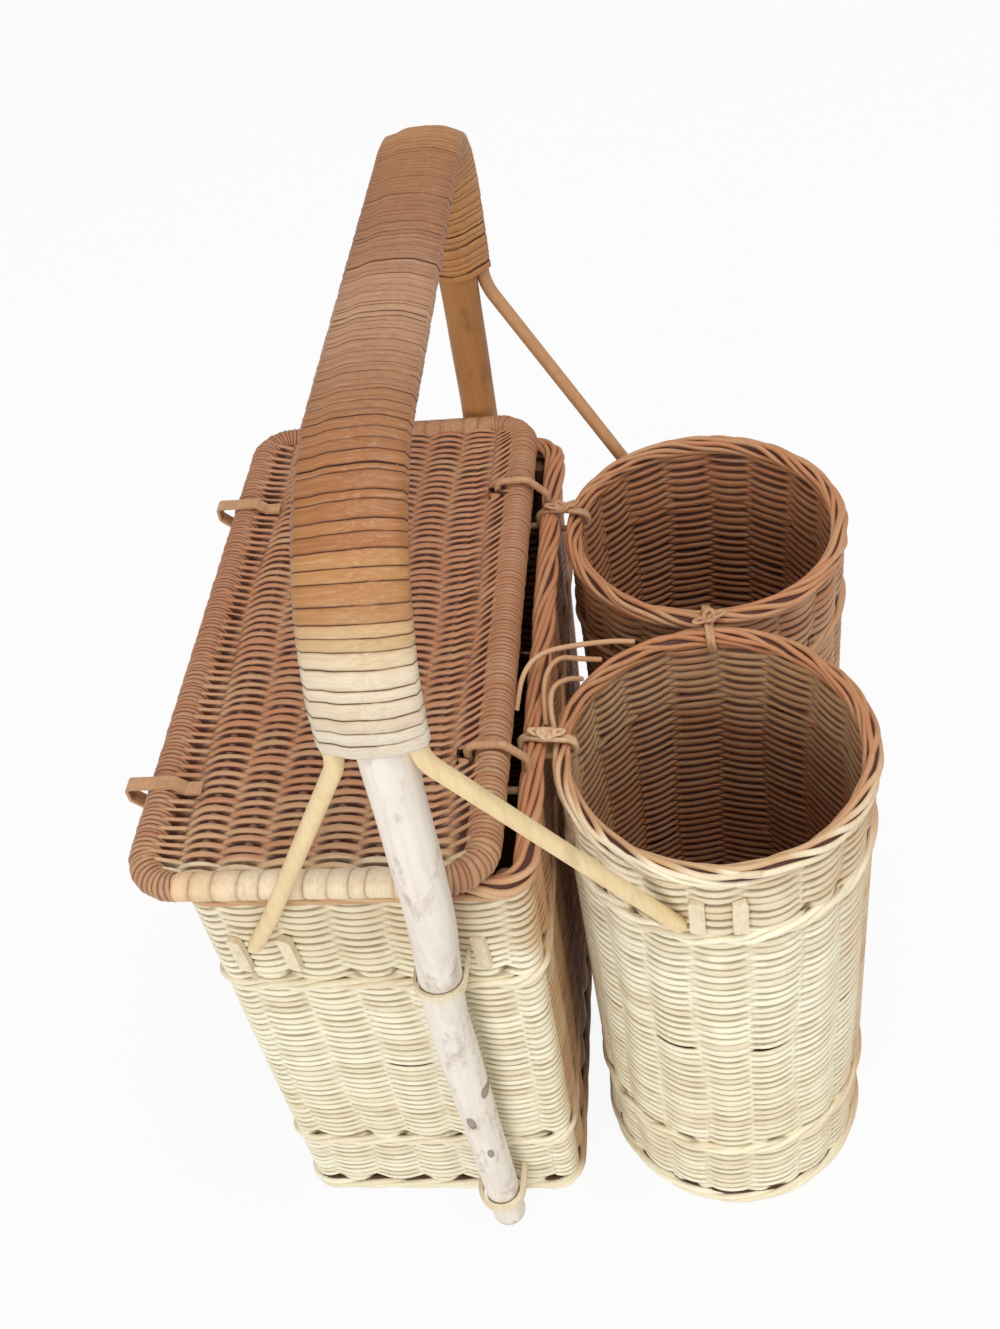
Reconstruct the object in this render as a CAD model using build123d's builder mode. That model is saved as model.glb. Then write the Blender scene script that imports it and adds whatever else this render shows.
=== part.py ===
"""A rattan picnic basket.

A tall woven hamper with a hinged lid stands beside two round bottle baskets, which are tied to
its border and to each other. A bent rattan pole, strapped to the two ends of the hamper, carries
the hamper; two thinner rods lie beside the pole under the cane binding of the grip and splay
below it as struts to the hamper and to the bottle baskets.

Millimetres, +Z up. -Y is the near end and +X is the side of the bottle baskets. The origin is
on the ground, in the middle of the whole basket's length and width.
"""
import os
from math import cos, radians, sin, sqrt

from build123d import *

os.makedirs("parts", exist_ok=True)

# Strands and clearances
cane_thickness = 1.2
cane_width = 5.0
weft_diameter = 2.1
seat_gap = 0.05
rest_gap = 0.3

# Hamper
hamper_height = 259.4
hamper_wall_thickness = 6.0
hamper_foot_half_width = 65.0
hamper_foot_half_length = 114.5
hamper_rim_half_width = 64.0
hamper_rim_half_length = 125.5
hamper_lean = 8.5
hamper_corner_radius = 13.0
hamper_upper_wale_drop = 65.4
hamper_lower_wale_level = 53.0
hamper_side_stakes = 10
hamper_end_stakes = 5
post_diameter = 7.0

# Feet, borders, wales and bases, alike on the hamper and the bottle baskets
foot_height = 7.0
foot_proud = 2.8
border_height = 9.4
border_proud = 2.5
border_overhang = 2.0
border_rounding = 2.4
wale_height = 7.0
wale_proud = 1.2
base_thickness = 6.0
stick_diameter = 3.6
base_stick_pitch = 15.0

# Bottle baskets
bottle_rim_drop = 1.4
bottle_wall_thickness = 5.3
bottle_rim_radius = 59.0
bottle_foot_radius = 58.2
bottle_side_gap = 0.3
bottle_upper_wale_drop = 41.0
bottle_lower_wale_level = 51.0
bottle_stakes = 18
bottle_first_stake = 13.0
bottle_stake_shift = 5.0

# Lid
lid_end_overhang = 4.0
lid_left_overhang = 14.0
lid_right_inset = 12.2
lid_rod_diameter = 9.0
lid_bend_radius = 14.0
lid_weave_thickness = 6.0
lid_stick_pitch = 16.0
lid_binding_thickness = 0.8

# Hinge loops, hasps and ties
hinge_loop_diameter = 3.0
hinge_loop_gap = 0.4
hinge_loop_places = (-74.0, 76.0)
hinge_loop_border_depth = 6.0
hinge_slot_gap = 0.35
hasp_places = (-86.0, 72.0)
hasp_width = 5.5
hasp_reach = 6.6
tie_places = (-59.0, 71.0)
tie_hook = 1.4

# Handle
pole_diameter = 16.5
side_rod_diameter = 6.0
pole_end_clearance = 4.0
pole_strap_drop = 4.0
arch_foot_rise = 10.6
arch_lid_side_gap = 3.25
arch_lid_top_gap = 6.55
arch_near_rise = 18.0
arch_near_radius = 60.0
arch_far_radius = 36.0
arch_shift = 37.25
arch_lean = 0.012
arch_skew = 0.029
pole_shift = 31.5
pole_rise_shift = 1.0
pole_bend_radius = 150.0
side_rod_lift = 3.2
left_rod_gap = 3.4
wrap_near_tail = 5.0
wrap_far_tail = 34.0
wrap_thickness = 1.2
strut_bend_drop = 8.0
strut_bend_radius = 22.0
strut_foot_drop = 33.4
strut_left_foot_shift = -33.0
strut_near_right_foot_shift = 121.5
strut_far_right_foot_shift = 113.0
strut_knee_drop = 1.4
strut_knee_radius = 60.0
strut_sink = 1.7
upper_loop_rise = 28.0
upper_loop_tilt = -15.0
lower_loop_level = 28.0
lower_loop_tilt = 0.0
staple_width = 5.5
staple_thickness = 1.3
staple_inset = 8.0
staple_pitch = 19.0
staple_slant = 15.0
loop_staple_gap = 10.0
hamper_staple_length = 21.0
bottle_staple_length = 18.0
bottle_staple_inset = 6.5
bottle_staple_pitch = 15.0
hamper_staple_drop = 42.4
bottle_staple_drop = 27.0

bottle_height = hamper_height - bottle_rim_drop
hamper_upper_wale_level = hamper_height - hamper_upper_wale_drop
bottle_upper_wale_level = bottle_height - bottle_upper_wale_drop
hamper_staple_level = hamper_height - hamper_staple_drop
bottle_staple_level = bottle_height - bottle_staple_drop


bottle_border_radius = bottle_rim_radius + border_proud
rim_right = hamper_lean + hamper_rim_half_width + border_proud
rim_left = hamper_lean - hamper_rim_half_width - border_proud
right_end = rim_right + bottle_side_gap + 2 * bottle_border_radius
left_end = rim_left - lid_left_overhang - hasp_reach
hamper_x = -(left_end + right_end) / 2


def hamper_size(level):
    """Return the hamper wall's centre, half width and half length at a level."""
    share = level / hamper_height
    half_width = hamper_foot_half_width + share * (hamper_rim_half_width - hamper_foot_half_width)
    half_length = hamper_foot_half_length
    half_length += share * (hamper_rim_half_length - hamper_foot_half_length)
    return hamper_x + hamper_lean * share, half_width, half_length


def hamper_outline(level, grow):
    """Return the hamper wall's outer outline at a level, grown outwards by grow."""
    centre, half_width, half_length = hamper_size(level)
    with BuildSketch(Plane((centre, 0, level))) as outline:
        RectangleRounded(2 * (half_width + grow), 2 * (half_length + grow), hamper_corner_radius + grow)
    return outline.sketch


def rib_run(start, end, stakes, rise):
    """Draw a ribbed face's edge from one valley to another: a round rib at each stake between them,
    which stands to the right of the run where rise is above zero."""
    run = end - start
    outwards = Vector(run.Y, -run.X).normalized() * rise
    for number in range(stakes):
        crest = start + run * ((number + 0.5) / stakes) + outwards
        ThreePointArc(start + run * (number / stakes), crest, start + run * ((number + 1) / stakes))


def ribbed_hamper_outline(level, grow, relief):
    """Return the hamper's outline with a rib at each stake and at each corner, and valleys relief
    deep between them."""
    centre, half_width, half_length = hamper_size(level)
    radius = hamper_corner_radius + grow
    flat_x = half_width + grow - radius
    flat_y = half_length + grow - radius
    turns = [(1, 1), (-1, 1), (-1, -1), (1, -1)]
    with BuildSketch(Plane((centre, 0, level))) as outline:
        with BuildLine():
            for number, (side_x, side_y) in enumerate(turns):
                out = Vector(1, 0).rotate(Axis.Z, 90 * number)
                ahead = out.rotate(Axis.Z, 90)
                corner = Vector(side_x * flat_x, side_y * flat_y)
                reach = flat_y if number % 2 == 0 else flat_x
                stakes = hamper_side_stakes if number % 2 == 0 else hamper_end_stakes
                run_end = corner + out * (radius - relief)
                turn_end = corner + ahead * (radius - relief)
                rib_run(run_end - ahead * 2 * reach, run_end, stakes, relief)
                ThreePointArc(run_end, corner + (out + ahead) * (radius / sqrt(2)), turn_end)
        make_face()
    return outline.sketch


def bottle_stake(number):
    """Return the angle of a bottle basket's stake, for half numbers of the valley before it. The
    stakes stand a little closer on the left than on the right."""
    angle = bottle_first_stake + number * 360 / bottle_stakes
    return angle + bottle_stake_shift * sin(radians(angle))


def ribbed_bottle_outline(middle, level, grow, relief):
    """Return a bottle basket's outline with a rib at each stake and valleys relief deep between."""
    radius = bottle_radius(level) + grow
    with BuildSketch(Plane((middle[0], middle[1], level))) as outline:
        with BuildLine():
            for number in range(bottle_stakes):
                before, crest, after = (
                    Vector(out, 0).rotate(Axis.Z, bottle_stake(number + aside))
                    for out, aside in ((radius - relief, -0.5), (radius, 0), (radius - relief, 0.5))
                )
                ThreePointArc(before, crest, after)
        make_face()
    return outline.sketch


def bottle_radius(level):
    """Return a bottle basket wall's outer radius at a level."""
    return bottle_foot_radius + level / bottle_height * (bottle_rim_radius - bottle_foot_radius)


def ring_profile(plane, inner, outer):
    """Return the closed profile between an inner and an outer line of (radius, level) points."""
    with BuildSketch(plane) as profile:
        with BuildLine():
            Polyline(*inner, *reversed(outer), close=True)
        make_face()
    return profile.sketch


def hamper_wall_line(side, level, out=0.0):
    """Return how far a hamper end wall's outer face lies from the middle, on side -1 or 1."""
    return side * (hamper_size(level)[2] + out)


hamper_relief = (hamper_wall_thickness - weft_diameter) / 2
bottle_relief = (bottle_wall_thickness - weft_diameter) / 2
rim_centre, rim_half_width, rim_half_length = hamper_size(hamper_height)
wall_top = hamper_height - border_height
border_right = hamper_x + rim_right
border_left = hamper_x + rim_left
border_width = border_proud + hamper_wall_thickness + border_overhang
bottle_x = border_right + bottle_side_gap + bottle_border_radius
bottle_y = bottle_border_radius + bottle_side_gap
bottle_wall_top = bottle_height - border_height

lid_half_length = rim_half_length + border_proud + lid_end_overhang
lid_rod_radius = lid_rod_diameter / 2
lid_side_radius = lid_rod_radius + weft_diameter
lid_end_radius = lid_rod_radius + lid_binding_thickness
lid_level = hamper_height + rest_gap + lid_end_radius
lid_right_rod = border_right - lid_right_inset - lid_side_radius
lid_left_rod = border_left - lid_left_overhang + lid_side_radius
lid_centre = (lid_left_rod + lid_right_rod) / 2
lid_rod_half_width = (lid_right_rod - lid_left_rod) / 2
lid_rod_half_length = lid_half_length - lid_end_radius

# The hamper's woven wall: a rib at each stake, outside and in, and the weft's thickness between
# them. It is notched inside its top for the hinge loops.
hinge_loop_radius = hinge_loop_diameter / 2
hinge_loop_reach = lid_side_radius + hinge_loop_gap + hinge_loop_radius
hinge_loop_right = border_right - hinge_loop_border_depth
hinge_loop_bottom = wall_top - hinge_loop_radius - 5 * hinge_slot_gap
hinge_slot_half = hinge_loop_radius + hinge_slot_gap
with BuildPart() as hamper_wall:
    outer = [ribbed_hamper_outline(level, 0, hamper_relief) for level in (foot_height, wall_top)]
    loft(outer)
    inner = [
        ribbed_hamper_outline(level, -hamper_wall_thickness, -hamper_relief)
        for level in (foot_height, wall_top)
    ]
    loft(inner, mode=Mode.SUBTRACT)
    for place in hinge_loop_places:
        with BuildSketch(Plane((0, place, wall_top), z_dir=(0, 0, -1), x_dir=(1, 0, 0))):
            with Locations((hinge_loop_right - hinge_loop_border_depth, 0)):
                Rectangle(2 * (hinge_loop_border_depth + hinge_slot_half), 2 * hinge_slot_half)
        extrude(amount=wall_top - hinge_loop_bottom + hinge_slot_half, mode=Mode.SUBTRACT)
hamper_wall.part.label = "hamper_wall"
export_step(hamper_wall.part, "parts/hamper_wall.step")

# The plaited foot under the hamper's wall
with BuildPart() as hamper_foot:
    loft([hamper_outline(0, foot_proud), hamper_outline(foot_height, foot_proud)])
    rounded = hamper_foot.edges().filter_by(Plane.XY)
    fillet(rounded, border_rounding)
    loft(
        [
            hamper_outline(0, -hamper_wall_thickness),
            hamper_outline(foot_height, -hamper_wall_thickness),
        ],
        mode=Mode.SUBTRACT,
    )
hamper_foot.part.label = "hamper_foot"
export_step(hamper_foot.part, "parts/hamper_foot.step")

# The plaited border round the hamper's mouth, with a slot for each hinge loop
with BuildPart() as hamper_border:
    loft([hamper_outline(wall_top, border_proud), hamper_outline(hamper_height, border_proud)])
    loft(
        [
            hamper_outline(wall_top, border_proud - border_width),
            hamper_outline(hamper_height, border_proud - border_width),
        ],
        mode=Mode.SUBTRACT,
    )
    fillet(hamper_border.edges().filter_by(Plane.XY).group_by(Axis.Z)[-1], border_rounding)
    for place in hinge_loop_places:
        with BuildSketch(Plane((hinge_loop_right, place, wall_top))):
            Rectangle(2 * hinge_slot_half, 2 * hinge_slot_half)
        extrude(amount=border_height, mode=Mode.SUBTRACT)
hamper_border.part.label = "hamper_border"
export_step(hamper_border.part, "parts/hamper_border.step")

# The waling bands round the hamper
hamper_wales = {
    "hamper_upper_wale": hamper_upper_wale_level,
    "hamper_lower_wale": hamper_lower_wale_level,
}
for wale_name, wale_level in hamper_wales.items():
    wale_low = wale_level - wale_height / 2
    wale_high = wale_level + wale_height / 2
    with BuildPart() as hamper_wale:
        loft([hamper_outline(wale_low, wale_proud), hamper_outline(wale_high, wale_proud)])
        loft([hamper_outline(wale_low, seat_gap), hamper_outline(wale_high, seat_gap)], mode=Mode.SUBTRACT)
    hamper_wale.part.label = wale_name
    export_step(hamper_wale.part, f"parts/{wale_name}.step")

# The hamper's woven base and the long sticks inside its weave
base_top = foot_height + base_thickness
base_fit = -hamper_wall_thickness - seat_gap
base_middle = foot_height + base_thickness / 2
base_centre, base_half_width, base_half_length = hamper_size(base_middle)
base_stick_count = int(2 * (base_half_width - 2 * hamper_wall_thickness) / base_stick_pitch) + 1
base_stick_places = [
    base_centre + (number - (base_stick_count - 1) / 2) * base_stick_pitch
    for number in range(base_stick_count)
]
stick_reach = base_half_length - 2 * hamper_wall_thickness
with BuildPart() as hamper_base:
    loft([hamper_outline(foot_height, base_fit), hamper_outline(base_top, base_fit)])
    for place in base_stick_places:
        with BuildSketch(Plane((place, 0, base_middle), x_dir=(1, 0, 0), z_dir=(0, 1, 0))):
            Circle(stick_diameter / 2 + seat_gap)
        extrude(amount=stick_reach + seat_gap, both=True, mode=Mode.SUBTRACT)
hamper_base.part.label = "hamper_base"
export_step(hamper_base.part, "parts/hamper_base.step")

with BuildPart() as hamper_base_sticks:
    for place in base_stick_places:
        with BuildSketch(Plane((place, 0, base_middle), x_dir=(1, 0, 0), z_dir=(0, 1, 0))):
            Circle(stick_diameter / 2)
        extrude(amount=stick_reach, both=True)
hamper_base_sticks.part.label = "hamper_base_sticks"
export_step(hamper_base_sticks.part, "parts/hamper_base_sticks.step")

# The four corner posts, standing in the inner corners of the hamper's wall
inner_corner_radius = hamper_corner_radius - hamper_wall_thickness
post_slack = inner_corner_radius - post_diameter / 2 - 2 * seat_gap
post_inset = hamper_corner_radius - post_slack / sqrt(2)
post_bottom = base_top + seat_gap
post_top = wall_top - seat_gap


def post_point(level, side_x, side_y):
    """Return the centre of a corner post at a level."""
    centre, half_width, half_length = hamper_size(level)
    return Vector(
        centre + side_x * (half_width - post_inset),
        side_y * (half_length - post_inset),
        level,
    )


with BuildPart() as hamper_corner_posts:
    for side_x in (-1, 1):
        for side_y in (-1, 1):
            low = post_point(post_bottom, side_x, side_y)
            high = post_point(post_top, side_x, side_y)
            with BuildSketch(Plane(low, x_dir=(1, 0, 0), z_dir=(0, 0, 1))) as low_end:
                Circle(post_diameter / 2)
            with BuildSketch(Plane(high, x_dir=(1, 0, 0), z_dir=(0, 0, 1))) as high_end:
                Circle(post_diameter / 2)
            loft([low_end.sketch, high_end.sketch])
hamper_corner_posts.part.label = "hamper_corner_posts"
export_step(hamper_corner_posts.part, "parts/hamper_corner_posts.step")

# The two bottle baskets: wall, foot, border, wales and base of each
bottle_walls = []
for bottle_name, side in (("near_bottle", -1), ("far_bottle", 1)):
    middle = (bottle_x, side * bottle_y, 0)
    upright = Plane(middle, x_dir=(1, 0, 0), z_dir=(0, -1, 0))
    turn = Axis(middle, (0, 0, 1))

    def bottle_line(grow, *levels):
        """Return (radius, level) points along the wall's outer face, grown outwards."""
        return [(bottle_radius(level) + grow, level) for level in levels]

    levels = (foot_height, bottle_wall_top)
    with BuildPart() as bottle_wall:
        loft([ribbed_bottle_outline(middle, level, 0, bottle_relief) for level in levels])
        inner = [
            ribbed_bottle_outline(middle, level, -bottle_wall_thickness, -bottle_relief)
            for level in levels
        ]
        loft(inner, mode=Mode.SUBTRACT)
    bottle_walls.append(bottle_wall.part)
    bottle_wall.part.label = f"{bottle_name}_wall"
    export_step(bottle_wall.part, f"parts/{bottle_name}_wall.step")

    with BuildPart() as bottle_foot:
        inner = bottle_line(-bottle_wall_thickness, 0, foot_height)
        revolve(ring_profile(upright, inner, bottle_line(foot_proud, 0, foot_height)), axis=turn)
        fillet(bottle_foot.edges().filter_by(GeomType.CIRCLE).sort_by(SortBy.RADIUS)[-2:], border_rounding)
    bottle_foot.part.label = f"{bottle_name}_foot"
    export_step(bottle_foot.part, f"parts/{bottle_name}_foot.step")

    with BuildPart() as bottle_border:
        levels = (bottle_wall_top, bottle_height)
        border_inner = -bottle_wall_thickness - border_overhang
        revolve(
            ring_profile(upright, bottle_line(border_inner, *levels), bottle_line(border_proud, *levels)),
            axis=turn,
        )
        fillet(bottle_border.edges().filter_by(GeomType.CIRCLE).group_by(Axis.Z)[-1], border_rounding)
    bottle_border.part.label = f"{bottle_name}_border"
    export_step(bottle_border.part, f"parts/{bottle_name}_border.step")

    bottle_wales = {"upper_wale": bottle_upper_wale_level, "lower_wale": bottle_lower_wale_level}
    for wale_name, wale_level in bottle_wales.items():
        with BuildPart() as bottle_wale:
            levels = (wale_level - wale_height / 2, wale_level + wale_height / 2)
            inner = bottle_line(seat_gap, *levels)
            revolve(ring_profile(upright, inner, bottle_line(wale_proud, *levels)), axis=turn)
        bottle_wale.part.label = f"{bottle_name}_{wale_name}"
        export_step(bottle_wale.part, f"parts/{bottle_name}_{wale_name}.step")

    with BuildPart() as bottle_base:
        with BuildSketch(Plane(middle).offset(foot_height)):
            Circle(bottle_radius(foot_height) - bottle_wall_thickness - seat_gap)
        extrude(amount=base_thickness)
    bottle_base.part.label = f"{bottle_name}_base"
    export_step(bottle_base.part, f"parts/{bottle_name}_base.step")

# The lid's frame: one rod bent into a closed, round-cornered rectangle
lid_plane = Plane((lid_centre, 0, lid_level))


def lid_rod(diameter):
    """Return the lid's frame rod as a solid of a given diameter."""
    half_width = lid_rod_half_width
    half_length = lid_rod_half_length
    corners = [
        (half_width, half_length),
        (-half_width, half_length),
        (-half_width, -half_length),
        (half_width, -half_length),
    ]
    with BuildPart() as rod:
        with BuildLine(lid_plane):
            FilletPolyline(*corners, radius=lid_bend_radius, close=True)
        with BuildSketch(Plane((lid_right_rod, 0, lid_level), x_dir=(1, 0, 0), z_dir=(0, 1, 0))):
            Circle(diameter / 2)
        sweep()
    return rod.part


def lid_end_sleeve(side, diameter):
    """Return a cylinder round the straight run of the lid's end bar on one side."""
    start = Plane((lid_centre, side * lid_rod_half_length, lid_level), x_dir=(0, 1, 0), z_dir=(1, 0, 0))
    with BuildPart() as sleeve:
        with BuildSketch(start):
            Circle(diameter / 2)
        extrude(amount=lid_rod_half_width - lid_bend_radius, both=True)
    return sleeve.part


with BuildPart() as lid_frame:
    add(lid_rod(lid_rod_diameter))
lid_frame.part.label = "lid_frame"
export_step(lid_frame.part, "parts/lid_frame.step")

# The flat cane bound round the lid's two end bars
rod_cutter = lid_rod(lid_rod_diameter + 2 * seat_gap)
for binding_name, side in (("lid_near_binding", -1), ("lid_far_binding", 1)):
    with BuildPart() as lid_binding:
        add(lid_end_sleeve(side, 2 * lid_end_radius))
        add(rod_cutter, mode=Mode.SUBTRACT)
    lid_binding.part.label = binding_name
    export_step(lid_binding.part, f"parts/{binding_name}.step")

# The lid's weave, which turns round the two side bars and leaves room for the hinge loops
lid_inner_half_width = lid_rod_half_width - lid_side_radius
lid_stick_count = int(2 * (lid_inner_half_width - 2 * stick_diameter) / lid_stick_pitch) + 1
lid_stick_places = [
    lid_centre + (number - (lid_stick_count - 1) / 2) * lid_stick_pitch
    for number in range(lid_stick_count)
]
side_turn_half = lid_rod_half_length - lid_bend_radius
hinge_notch_depth = sqrt(2) * hinge_loop_reach + rest_gap
with BuildPart() as lid_weave:
    with BuildSketch(lid_plane.offset(-lid_weave_thickness / 2)):
        RectangleRounded(2 * lid_rod_half_width, 2 * lid_rod_half_length, lid_bend_radius)
        for place in hinge_loop_places:
            with Locations((lid_rod_half_width - hinge_notch_depth / 2, place)):
                Rectangle(hinge_notch_depth, 2 * (hinge_slot_half + hinge_slot_gap), mode=Mode.SUBTRACT)
    extrude(amount=lid_weave_thickness)
    for side_bar in (lid_left_rod, lid_right_rod):
        with BuildSketch(Plane((side_bar, 0, lid_level), x_dir=(1, 0, 0), z_dir=(0, 1, 0))):
            Circle(lid_side_radius)
        extrude(amount=side_turn_half, both=True)
    for place in lid_stick_places:
        with BuildSketch(Plane((place, 0, lid_level), x_dir=(1, 0, 0), z_dir=(0, 1, 0))):
            Circle(stick_diameter / 2 + seat_gap)
        extrude(amount=lid_rod_half_length, both=True, mode=Mode.SUBTRACT)
    add(rod_cutter, mode=Mode.SUBTRACT)
    for side in (-1, 1):
        add(lid_end_sleeve(side, 2 * (lid_end_radius + seat_gap)), mode=Mode.SUBTRACT)
lid_weave.part.label = "lid_weave"
export_step(lid_weave.part, "parts/lid_weave.step")

with BuildPart() as lid_sticks:
    for place in lid_stick_places:
        with BuildSketch(Plane((place, 0, lid_level), x_dir=(1, 0, 0), z_dir=(0, 1, 0))):
            Circle(stick_diameter / 2)
        extrude(amount=lid_rod_half_length - lid_end_radius - seat_gap, both=True)
lid_sticks.part.label = "lid_sticks"
export_step(lid_sticks.part, "parts/lid_sticks.step")

# The two closing hasps: flat cane loops woven into the lid and standing out past its left bar
hasp_top = lid_weave_thickness / 2 + cane_thickness / 2 + seat_gap
hasp_over = lid_side_radius + cane_thickness / 2 + seat_gap
hasp_out = lid_side_radius + hasp_reach - cane_thickness / 2
hasp_in = lid_side_radius + 8.5
hasp_route = [
    (hasp_in, hasp_top),
    (hasp_over + 2.0, hasp_top),
    (hasp_over * 0.7, hasp_over),
    (-hasp_out, hasp_over),
    (-hasp_out, hasp_over * 0.1),
    (-hasp_over * 0.6, -hasp_over),
    (hasp_over * 0.3, -hasp_over),
    (hasp_over + 0.8, -hasp_top),
    (hasp_in - 2.0, -hasp_top),
]
for hasp_name, place in zip(("lid_near_hasp", "lid_far_hasp"), hasp_places):
    hasp_plane = Plane((lid_left_rod, place, lid_level), x_dir=(1, 0, 0), z_dir=(0, -1, 0))
    with BuildPart() as lid_hasp:
        with BuildLine(hasp_plane) as hasp_line:
            FilletPolyline(*hasp_route, radius=1.6)
        with BuildSketch(Plane(hasp_line.line @ 0, x_dir=(0, 1, 0), z_dir=(-1, 0, 0))):
            Rectangle(hasp_width, cane_thickness)
        sweep()
    lid_hasp.part.label = hasp_name
    export_step(lid_hasp.part, f"parts/{hasp_name}.step")

# The hinge loops, each passing round the lid's right bar and through the hamper's border
hinge_loop_route = [
    (-hinge_loop_reach, hinge_loop_reach),
    (hinge_loop_reach * 0.6, hinge_loop_reach),
    (hinge_loop_right - lid_right_rod, 0),
    (hinge_loop_right - lid_right_rod, hinge_loop_bottom - lid_level),
    (0, hinge_loop_bottom - lid_level),
    (-hinge_loop_reach, -hinge_loop_reach),
]
for loop_name, place in zip(("near_hinge_loop", "far_hinge_loop"), hinge_loop_places):
    loop_plane = Plane((lid_right_rod, place, lid_level), x_dir=(1, 0, 0), z_dir=(0, -1, 0))
    with BuildPart() as hinge_loop:
        with BuildLine(loop_plane):
            FilletPolyline(*hinge_loop_route, radius=2.4 * hinge_loop_radius, close=True)
        loop_side = loop_plane.from_local_coords((-hinge_loop_reach, 0, 0))
        with BuildSketch(Plane(loop_side, x_dir=(1, 0, 0), z_dir=(0, 0, 1))):
            Circle(hinge_loop_radius)
        sweep()
    hinge_loop.part.label = loop_name
    export_step(hinge_loop.part, f"parts/{loop_name}.step")

# The flat cane ties that bind the bottle baskets to the hamper and to each other
tie_gap = 4 * seat_gap


def tie_profile(plane, left, middle, right, tops, bottoms):
    """Return the section of a tie bent over two borders that meet at middle, hooked under each."""
    left_top, right_top = (level + tie_gap for level in tops)
    left_bottom, right_bottom = (level - tie_gap for level in bottoms)
    left -= tie_gap
    right += tie_gap
    band = cane_thickness
    hook = tie_hook + tie_gap
    line = [
        (left + hook, left_bottom),
        (left, left_bottom),
        (left, left_top),
        (middle, left_top),
        (right, right_top),
        (right, right_bottom),
        (right - hook, right_bottom),
    ]
    back = [
        (left + hook, left_bottom - band),
        (left - band, left_bottom - band),
        (left - band, left_top + band),
        (middle, left_top + band),
        (right + band, right_top + band),
        (right + band, right_bottom - band),
        (right - hook, right_bottom - band),
    ]
    with BuildSketch(plane) as profile:
        with BuildLine():
            Polyline(*line, *reversed(back), close=True)
        make_face()
    return profile.sketch


hamper_edge = hamper_size(wall_top)[0] + hamper_size(wall_top)[1] + border_proud - border_width
bottle_border_inner = bottle_rim_radius - bottle_wall_thickness - border_overhang
for tie_name, place in zip(("near_tie", "far_tie"), tie_places):
    aside = abs(place) - bottle_y
    bottle_edge = bottle_x - sqrt(bottle_border_inner**2 - (abs(aside) + cane_width / 2) ** 2)
    with BuildPart() as tie:
        extrude(
            tie_profile(
                Plane((0, place, 0), x_dir=(1, 0, 0), z_dir=(0, -1, 0)),
                hamper_edge,
                border_right,
                bottle_edge,
                (hamper_height, bottle_height),
                (wall_top, bottle_wall_top),
            ),
            amount=cane_width / 2,
            both=True,
        )
    tie.part.label = tie_name
    export_step(tie.part, f"parts/{tie_name}.step")

between_edge = bottle_y - sqrt(bottle_border_inner**2 - (cane_width / 2) ** 2)
with BuildPart() as bottle_tie:
    extrude(
        tie_profile(
            Plane((bottle_x, 0, 0), x_dir=(0, 1, 0), z_dir=(1, 0, 0)),
            -between_edge,
            0,
            between_edge,
            (bottle_height, bottle_height),
            (bottle_wall_top, bottle_wall_top),
        ),
        amount=cane_width / 2,
        both=True,
    )
bottle_tie.part.label = "bottle_tie"
export_step(bottle_tie.part, "parts/bottle_tie.step")


# The handle's arch clears the lid as it swings up. The pole and the side rods lie in one slightly
# leaning, skewed plane.
pole_radius = pole_diameter / 2
lid_swing_radius = lid_right_rod - (border_left - lid_left_overhang)
arch_foot_level = hamper_height + arch_foot_rise
arch_half_span = lid_half_length + arch_lid_side_gap + pole_radius
arch_far_height = lid_level + lid_swing_radius + arch_lid_top_gap + pole_radius
arch_near_height = arch_far_height + arch_near_rise
wrap_near_end = arch_near_height - arch_near_radius - wrap_near_tail
wrap_far_end = arch_far_height - arch_far_radius - wrap_far_tail


arch_normal = Vector(1, arch_skew, -arch_lean).normalized()


def arch_point(y, level, aside=0.0):
    """Return a point of the handle's arch, aside of the pole's middle by aside."""
    lean = arch_lean * (level - arch_foot_level)
    return Vector(hamper_x + arch_shift + lean - arch_skew * y, y, level) + arch_normal * aside


pole_foot = Vector(
    hamper_x + pole_shift,
    hamper_foot_half_length + foot_proud + pole_radius + rest_gap,
    pole_end_clearance,
)
pole_strap = Vector(
    hamper_x + pole_shift + pole_rise_shift,
    hamper_size(hamper_upper_wale_level)[2] + wale_proud + pole_radius + rest_gap,
    hamper_upper_wale_level - pole_strap_drop,
)


def on_side(point, side):
    """Return a point of the far side, or its mirror image on the near side."""
    return Vector(point.X, side * point.Y, point.Z)


def pole_route():
    """Return the pole's corner points from its near end to its far end."""
    arch = [
        arch_point(-arch_half_span, arch_foot_level),
        arch_point(-arch_half_span, arch_near_height),
        arch_point(arch_half_span, arch_far_height),
        arch_point(arch_half_span, arch_foot_level),
    ]
    near_leg = [on_side(pole_foot, -1), on_side(pole_strap, -1)]
    return near_leg + arch + [pole_strap, pole_foot]


pole_radii = [
    pole_bend_radius,
    pole_bend_radius,
    arch_near_radius,
    arch_far_radius,
    pole_bend_radius,
    pole_bend_radius,
]
with BuildPart() as handle_pole:
    with BuildLine() as pole_line:
        FilletPolyline(*pole_route(), radius=pole_radii)
    with BuildSketch(Plane(pole_line.line @ 0, z_dir=pole_line.line % 0)):
        Circle(pole_radius)
    sweep()
handle_pole.part.label = "handle_pole"
export_step(handle_pole.part, "parts/handle_pole.step")

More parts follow.
